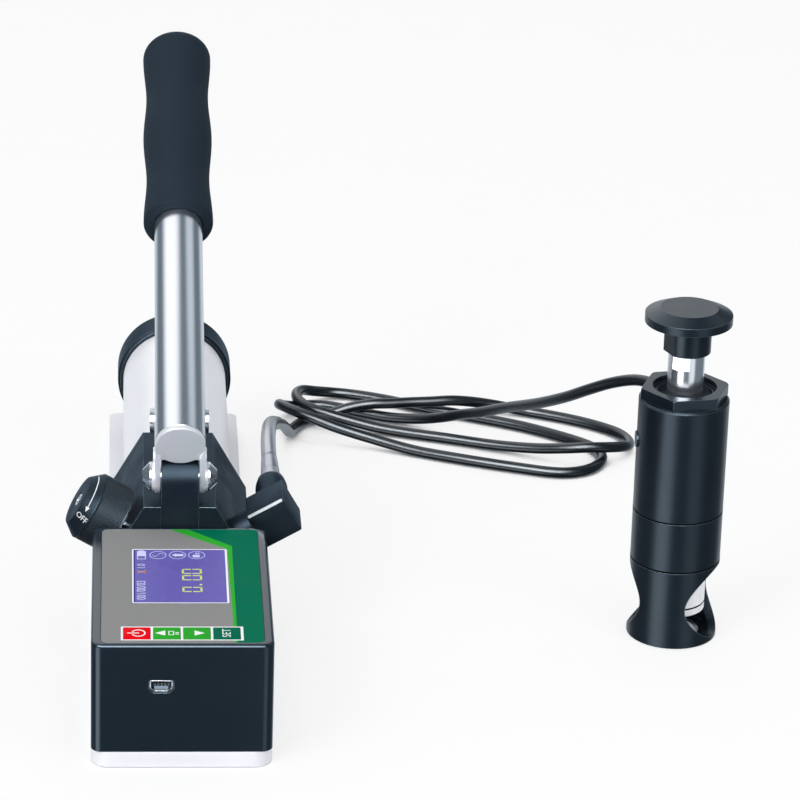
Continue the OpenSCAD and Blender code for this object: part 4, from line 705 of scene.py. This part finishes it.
def make_grip():
    """Soft grip with two waists and a closed round end"""
    length, radius, wave, steps = 118, 15.7, 0.7, 72
    lip_r, end_r, end_turn = 2, 7, 80
    profile = [(11.0, 0.6), (11.4, 0), (13.7, 0)]
    profile += [(radius - lip_r * (1 - sin_of(a)), lip_r * (1 - cos_of(a))) for a in range(15, 76, 15)]
    waist = length - end_r - lip_r
    profile += [(radius - wave + wave * math.cos(4 * math.pi * k / steps), lip_r + waist * k / steps)
                for k in range(steps + 1)]
    profile += [(radius - end_r * (1 - cos_of(a)), length - end_r * (1 - sin_of(a) / sin_of(end_turn)))
                for a in range(8, end_turn + 1, 8)]
    profile += [(6.5, length), (3, length + 0.05), (0, length + 0.05)]
    return lathe("grip_foam", profile, ON_LEVER @ frame_at(0, GRIP_Y, RISE) @ ALONG_Y, 96)


def make_lever_tube():
    """Bright tube, and the crown that closes its end and reaches down to the fork"""
    at = ON_LEVER @ frame_at(0, TUBE_Y, RISE)
    profile = [(8.8, 2.4), (TUBE_R, 2.3, 0.25), (TUBE_R, 140), (9, 140)]
    ready(lathe("lever_tube_chrome", profile, at @ ALONG_Y, 128), "lever", "tube", "lever_tube")
    crown = arc(0, 0, 10.75, 0, 180, 40) + arc(-9.4, -8.4, 1.35, 180, 290, 6)
    crown += [(11.4 * sin_of(a), -11.2 * cos_of(a)) for a in range(-36, 37, 6)]
    crown += arc(9.4, -8.4, 1.35, -110, 0, 6)
    plug = loft("lever_end_crown", [(-2.25, crown), (0.05, crown)], at @ FACING_FRONT)
    ready(soften(plug, 0.45), "lever", "fork", "tube_end_plug")


def make_fork():
    """Two cheeks that flow out of the tube's end, one each side of the bracket, with boss pads"""
    outline = [(-2.2, 21.5), (-3.2, 16), (-6.2, 8)] + arc(0, 0, 7.3, 155, 270, 14)
    outline += arc(33, 0, 7.3, 270, 350, 10) + [(40.6, 6), (43, 14), (44, 21.5)]
    to_side = ON_LEVER @ Matrix(((0, 0, 1, 0), (1, 0, 0, 0), (0, 1, 0, 0), (0, 0, 0, 1)))
    inside = [(0, -8), (TUBE_R - 0.01, -8), (TUBE_R - 0.01, 60), (0, 60)]

    def slab(name, side, near, far, shape):
        sections = [(x, shape) for x in sorted((side * near, side * far))]
        return loft(name + "_" + SIDES[side], sections, to_side, 30)

    for side in (-1, 1):
        cheek = slab("fork_cheek", side, 8.4, 10.78, outline)
        cut_with(cheek, [lathe("cut_tube", inside, ON_LEVER @ frame_at(0, 0, RISE) @ ALONG_Y, 96)])
        ready(soften(cheek, 0.55), "lever", "fork", *(["lever_fork"] if side > 0 else []))
        boss = slab("fork_pad", side, 10.2, 12.3, arc(0, 0, 6.3, 0, 354, 59))
        ready(soften(boss, 0.6), "lever", "fork")
        stub = slab("fork_stub", side, 10.2, 11.6, arc(5.5, 6.5, 4.2, 0, 354, 59))
        ready(soften(stub, 0.4), "lever", "fork")


ready(make_grip(), "lever", "foam", "foam_grip")
make_lever_tube()
make_fork()


# Release knob: knurled from KNURL_LOW to KNURL_HIGH, then a bevel from its rim to its flat end

KNURL_TURNS, KNURL_PITCH, KNURL_DEPTH = 96, 1.05, 0.22
KNURL_LOW, KNURL_HIGH = 3.4, 16.6
RIM_R, RIM_Z, END_R, END_Z = 15.4, 17.1, 11.1, 22.6

# Angles round the knob, in degrees: the ends of the arrow and the middle of the word
ARROW = (-74, 8)
OFF_AT = -97


def knurl_finish():
    """Black anodising, with a painted highlight on the points of the knurl and painted shade in its grooves
    """
    s = Finish("knurl_black_painted_light")
    parts = s.split(s.coords)
    around = s.math("MULTIPLY", s.math("ARCTAN2", parts["Y"], parts["X"]), KNURL_TURNS / 2)
    along = s.math("MULTIPLY", parts["Z"], math.pi / (KNURL_PITCH * MM))
    waves = [s.math("SINE", s.math(what, around, along)) for what in ("ADD", "SUBTRACT")]
    high = s.math("MULTIPLY", *(s.math("ABSOLUTE", wave) for wave in waves))
    # Painted light: dark in the grooves, light on the points
    colour = s.mix(s.ramp(high, 0.5, 0.95), srgb(8, 11, 15), srgb(66, 76, 85))
    s.put(s.main, {"Base Color": colour, "Roughness": s.ramp(high, 0, 1, 0.5, 0.3),
                   "Specular Tint": (*COOL, 1)})
    return s.material


def make_knurl():
    """Crossed rows of small points round the knob, which fade out in the last two rows"""
    rows = 52
    turns = angles_round(4 * KNURL_TURNS)
    rings = []
    for i in range(rows + 1):
        z = KNURL_LOW + (KNURL_HIGH - KNURL_LOW) * i / rows
        fade = min(1, min(i, rows - i) / 2)
        twist = 2 * math.pi * z / KNURL_PITCH
        ring = []
        for a in turns:
            one, other = (abs(math.sin((KNURL_TURNS * a + lean) / 2)) for lean in (twist, -twist))
            r = RIM_R - KNURL_DEPTH * fade * (1 - one * other)
            ring.append((r * math.cos(a), r * math.sin(a), z))
        rings.append(ring)
    return skin("release_knurl", rings, ON_KNOB, 80, ends="open")


def make_knob():
    """Knob with a bevel and a flat end, its knurl and its screw"""
    ready(make_knurl(), "release_valve", "block", material=knurl_finish())
    body = lathe("release_knob_body", [
        (4.2, 2.8), (14.9, 2.8, 0.4), (15.35, 3.3), (15.1, 3.45), (15.0, 10), (15.1, 16.55), (RIM_R, 16.7),
        (RIM_R, RIM_Z, 0.3), (END_R, END_Z, 0.3), (3.5, END_Z, 0.2), (3.5, 19.6), (0, 19.6)], ON_KNOB, 96)
    ready(body, "release_valve", "block", "release_knob")
    screw = lathe("release_screw", [
        (3.0, 19.6), (3.0, 22.5, 0.3), (1.75, 22.55, 0.1), (1.6, 22.4), (1.6, 21.2),
        (0, 21.1)], ON_KNOB, 48)
    ready(screw, "release_valve", "bright", "knob_screw")


def on_bevel(degrees, share):
    """Point just over the bevel, at an angle round the knob and a share of the way up from its rim"""
    lift = 0.04
    r = RIM_R - (RIM_R - END_R) * share + lift
    return r * cos_of(degrees), r * sin_of(degrees), RIM_Z + (END_Z - RIM_Z) * share + lift


def make_knob_signs():
    """Curved arrow and OFF, printed on the bevel towards the front"""
    low, high = ARROW
    steps = 24
    turns = [low + (high - low) * k / steps for k in range(steps + 1)]
    arrow = [[on_bevel(*p) for p in ((a, 0.53), (b, 0.53), (b, 0.47), (a, 0.47))]
             for a, b in zip(turns, turns[1:])]
    arrow.append([on_bevel(*p) for p in ((low - 9, 0.5), (low + 1, 0.66), (low + 1, 0.34))])
    piece = mesh_piece("release_arrow", loose_faces(arrow), ON_KNOB)
    printed(piece, "block", "white", "release_valve")
    letters = lettering("release_off", "OFF", 3.7, (0, 0, 0))
    bevel_r, bevel_length = 13.0, 7.0
    for v in letters.data.vertices:
        around = OFF_AT + math.degrees(-v.co.x / MM / bevel_r)
        v.co = [c * MM for c in on_bevel(around, 0.5 - v.co.y / MM / bevel_length)]
    letters.matrix_world = ON_KNOB
    printed(letters, "block", "white", "release_valve")


make_knob()
make_knob_signs()


# Hose outlet

def make_elbow():
    """Block with bevelled edges; the one at the top front is bare metal, painted near-white as a highlight
    """
    size = (17.2, 21.2, 18.6)
    bm = bmesh.new()
    bmesh.ops.create_cube(bm, size=1)
    for v in bm.verts:
        v.co = [c * length * MM for c, length in zip(v.co, size)]
    bmesh.ops.bevel(bm, geom=list(bm.edges), offset=1.0 * MM, segments=2, profile=0.6, affect="EDGES")
    elbow = mesh_piece("outlet_elbow", bm, ON_ELBOW @ frame_at(0, 0, 7.8 + size[2] / 2), 30)
    elbow.data.materials.append(MAT["block"])
    elbow.data.materials.append(INK["edge"])
    # Painted highlight: the bevel faces along the top front edge take the near-white bare metal
    for face in elbow.data.polygons:
        middle = face.center / MM
        if middle.x < -7.65 and middle.y < -9.65 and abs(middle.z) < 7:
            face.material_index = 1
    ready(elbow, "pump_set", "block", "hose_elbow")


def make_outlet():
    """Black collar and bright ferrule between the elbow and the hose"""
    at = frame_at(OUT_X, 0, OUT_Z) @ ALONG_Y
    collar = lathe("outlet_collar", [
        (4.5, 143.2), (6.6, 143.3, 0.5), (7.15, 144.2, 0.4), (7.15, 160.5, 3.2), (6.35, 165, 0.6),
        (3, 165)], at, 64)
    ready(collar, "pump_set", "block", "hose_collar")
    ferrule = lathe("outlet_ferrule", [
        (4.0, 165), (6.15, 165, 0.3), (6.15, 166.7, 0.5), (5.6, 167.2, 0.3), (4.45, 167.3, 0.2),
        (4.4, 168.5), (4.25, 176), (4.15, 176.4, 0.1), (4.15, 177.0, 0.1), (4.2, 177.4), (3.7, 191.2, 0.5),
        (2.7, 192)], at, 64)
    ready(ferrule, "pump_set", "fitting", "hose_ferrule")


make_elbow()
make_outlet()


# Actuator

def make_seam_shade_rings():
    """Dark rings of painted shade in the two grooves round the actuator and the one over the coupler's ring
    """
    depth, proud, width = 0.4, 0.04, 0.75
    for name, r, z, body in (("seam_shade_low", ACT_R, 36.05, "pump_set"),
                             ("seam_shade_high", ACT_R, 59.35, "pump_set"),
                             ("coupler_groove_shade", 14, 15.6, "drawbar")):
        loop = rect(r - depth, z, r + proud, z + width)
        ready(lathe(name, loop + loop[:1], ON_ACTUATOR, 128), body, "rubber", material=MAT["seam"])


def make_return_spring():
    """Spring over the piston's head, which the piston presses against the gland nut as it rises; here a
    fixed coil that fills the CAD spring's box
    """
    low, high = (Vector(corner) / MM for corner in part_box("return_spring"))
    wire, turns, steps, sides, stroke = 1, 3, 36, 8, 5
    around = (high.x - low.x - wire) / 2
    rise = high.z - low.z - wire
    rings = []
    for i in range(turns * steps + 1):
        turn = 2 * math.pi * i / steps
        z = low.z + wire / 2 + rise * i / (turns * steps)
        ring = []
        for a in angles_round(sides):
            r = around + wire / 2 * math.cos(a)
            ring.append((r * math.cos(turn), r * math.sin(turn), z - wire / 2 * math.sin(a)))
        rings.append(ring)
    spring = skin("return_spring_coil", rings, ON_ACTUATOR, 60)
    ready(spring, "pump_set", "steel", "return_spring")
    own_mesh(spring)


make_seam_shade_rings()
make_return_spring()


# CAD nodes keep their shape and take a better material, which is steel where no other is named

NODE_MATERIALS = {
    "plate": "base_plate", "fastener": "base_screws bracket_screws block_plugs tie_rod rod_nut filler_plug",
    "panel": "panel_overlay", "window": "lcd_window", "board": "lcd_module circuit_board",
    "cells": "battery_pack",
    "bright": "pressure_sensor plunger_gland release_stem pump_plunger pivot_pin link_pin",
    "block": "pump_block lever_bracket reservoir_cap rear_saddle outlet_adapter",
    "reservoir": "reservoir_tube", "brass": "inlet_seat",
    "fitting": "actuator_hose_fitting", "coupler": "coupler coupler_ring",
    "actuator": "bleed_screw actuator_body actuator_ring actuator_foot gland_nut drawbar_knob",
    "rubber": "oil_bladder pump_seals piston_seals",
}
for node in NODES.values():
    node.data.materials.clear()
    node.data.materials.append(MAT["steel"])
for material_name, names in NODE_MATERIALS.items():
    for name in names.split():
        NODES[name].data.materials[0] = MAT[material_name]


# Floor, light and background

WORLD_LIGHT = 0.6
STUDIO_FLOOR, STUDIO_WALL = 0.08, 0.2
FLOOR_WHITE = 0.8


def studio(s, direction):
    """What polished surfaces see in a direction: a dim room with soft boxes round the object"""
    flat = s.node("VectorMath", {0: direction, 1: (1, 1, 0)}, operation="MULTIPLY").outputs[0]
    level = s.node("VectorMath", {0: flat}, operation="NORMALIZE").outputs[0]
    height = s.split(direction)["Z"]
    below = s.math("MULTIPLY", s.ramp(height, -0.65, -0.48), s.ramp(height, -0.28, -0.12, 1, 0))
    above = s.math("MULTIPLY", s.ramp(height, 0.2, 0.4, smooth=True),
                   s.ramp(height, 0.8, 0.95, 1, 0, smooth=True))
    not_above = s.ramp(height, 0, 0.2, 1, 0)

    # Two upright strips below the horizon at the front, three boxes high at the back, a glow low at the
    # back and a bright box over the front. Each comes in between two cosines of the angle from its middle.
    boxes = (
        (level, (-0.69, -0.72, 0), 0.90, 0.99, 3.0, below),
        (level, (0.53, -0.85, 0), 0.92, 0.99, 0.8, below),
        (direction, (-0.44, 0.41, 0.80), 0.80, 0.978, 1.1, 1.0),
        (direction, (0.57, 0.46, 0.68), 0.94, 0.998, 0.6, 1.0),
        (direction, (-0.12, 0.89, 0.43), 0.89, 0.99, 1.15, 1.0),
        (direction, (0.07, 0.92, -0.38), 0.64, 0.82, 0.58, not_above),
        (level, (-0.25, -0.97, 0), 0.76, 0.93, 13, above))
    total = s.ramp(height, -0.8, -0.5, STUDIO_FLOOR, STUDIO_WALL, smooth=True)
    for source, middle, edge, full, strength, limit in boxes:
        near = s.dot(source, Vector(middle).normalized())
        shine = s.ramp(near, edge, full, 0, strength, smooth=True)
        total = s.math("ADD", total, s.math("MULTIPLY", shine, limit))
    return total


def make_floor():
    """White floor that keeps a soft shadow and a painted contact shade; polished surfaces see the studio
    instead of it
    """
    bm = bmesh.new()
    bmesh.ops.create_grid(bm, x_segments=1, y_segments=1, size=6)
    floor = mesh_piece("floor", bm, Matrix.Translation((0, 0, -0.0002)))
    s = Finish("floor_pale")
    speckle = s.mix(s.ramp(s.noise(30, 3), *NOISE_SPAN), (0.89, 0.89, 0.90), (0.91, 0.91, 0.92))
    s.put(s.main, {"Base Color": speckle, "Roughness": 0.8, "Specular IOR Level": 0.1})
    white = s.node("Emission", {"Strength": 1}).outputs[0]
    clear = s.node("BsdfTransparent").outputs[0]
    path = s.node("LightPath").outputs
    # Painted contact shade: the white for the camera fades out where ambient occlusion finds the floor
    # hemmed in
    open_sky = s.node("AmbientOcclusion", {"Distance": 0.04}, samples=8).outputs["AO"]
    lit = s.math("MULTIPLY", path["Is Camera Ray"], s.ramp(open_sky, 0.3, 0.6, 0, FLOOR_WHITE, smooth=True))
    shown = s.main.outputs[0]
    for share, other in ((lit, white), (path["Is Glossy Ray"], clear)):
        shown = s.node("MixShader", {0: share, 1: shown, 2: other}).outputs[0]
    s.put(s.tree.nodes["Material Output"], {"Surface": shown})
    floor.data.materials.append(s.material)


def make_world():
    """White for the camera, plain light for the object, and the studio for polished surfaces"""
    world = bpy.data.worlds.new("world")
    world.use_nodes = True
    w = Shader(world.node_tree)
    path = w.node("LightPath").outputs
    plain = w.ramp(path["Is Camera Ray"], 0, 1, WORLD_LIGHT, 1.0)
    seen = studio(w, w.node("TexCoord").outputs["Generated"])
    strength = w.node("Mix", {0: path["Is Glossy Ray"], 2: plain, 3: seen}, data_type="FLOAT").outputs[0]
    dim_hue = w.mix(w.ramp(seen, 0.3, 1.2), (0.68, 0.86, 1), (1, 1, 1))
    hue = w.mix(path["Is Glossy Ray"], (0.97, 0.985, 1), dim_hue)
    w.put(w.tree.nodes["Background"], {"Color": hue, "Strength": strength})
    bpy.context.scene.world = world


def area_light(name, place, target, size, power, shiny=False):
    data = bpy.data.lights.new(name, "AREA")
    data.size = size
    data.energy = power
    light = link_object(name, data)
    light.location = place
    light.rotation_euler = (Vector(target) - Vector(place)).to_track_quat("-Z", "Y").to_euler()
    light.visible_glossy = shiny


make_floor()
make_world()
area_light("key_left", (-1.0, -1.0, 1.3), (0.08, 0.15, 0.05), 0.9, 16, shiny=True)
area_light("fill_right", (1.3, -0.9, 1.0), (0.1, 0.15, 0.05), 0.9, 7)
area_light("top", (0.1, 0.5, 1.8), (0.1, 0.15, 0), 1.2, 5)
bpy.context.scene.view_settings.view_transform = "Standard"
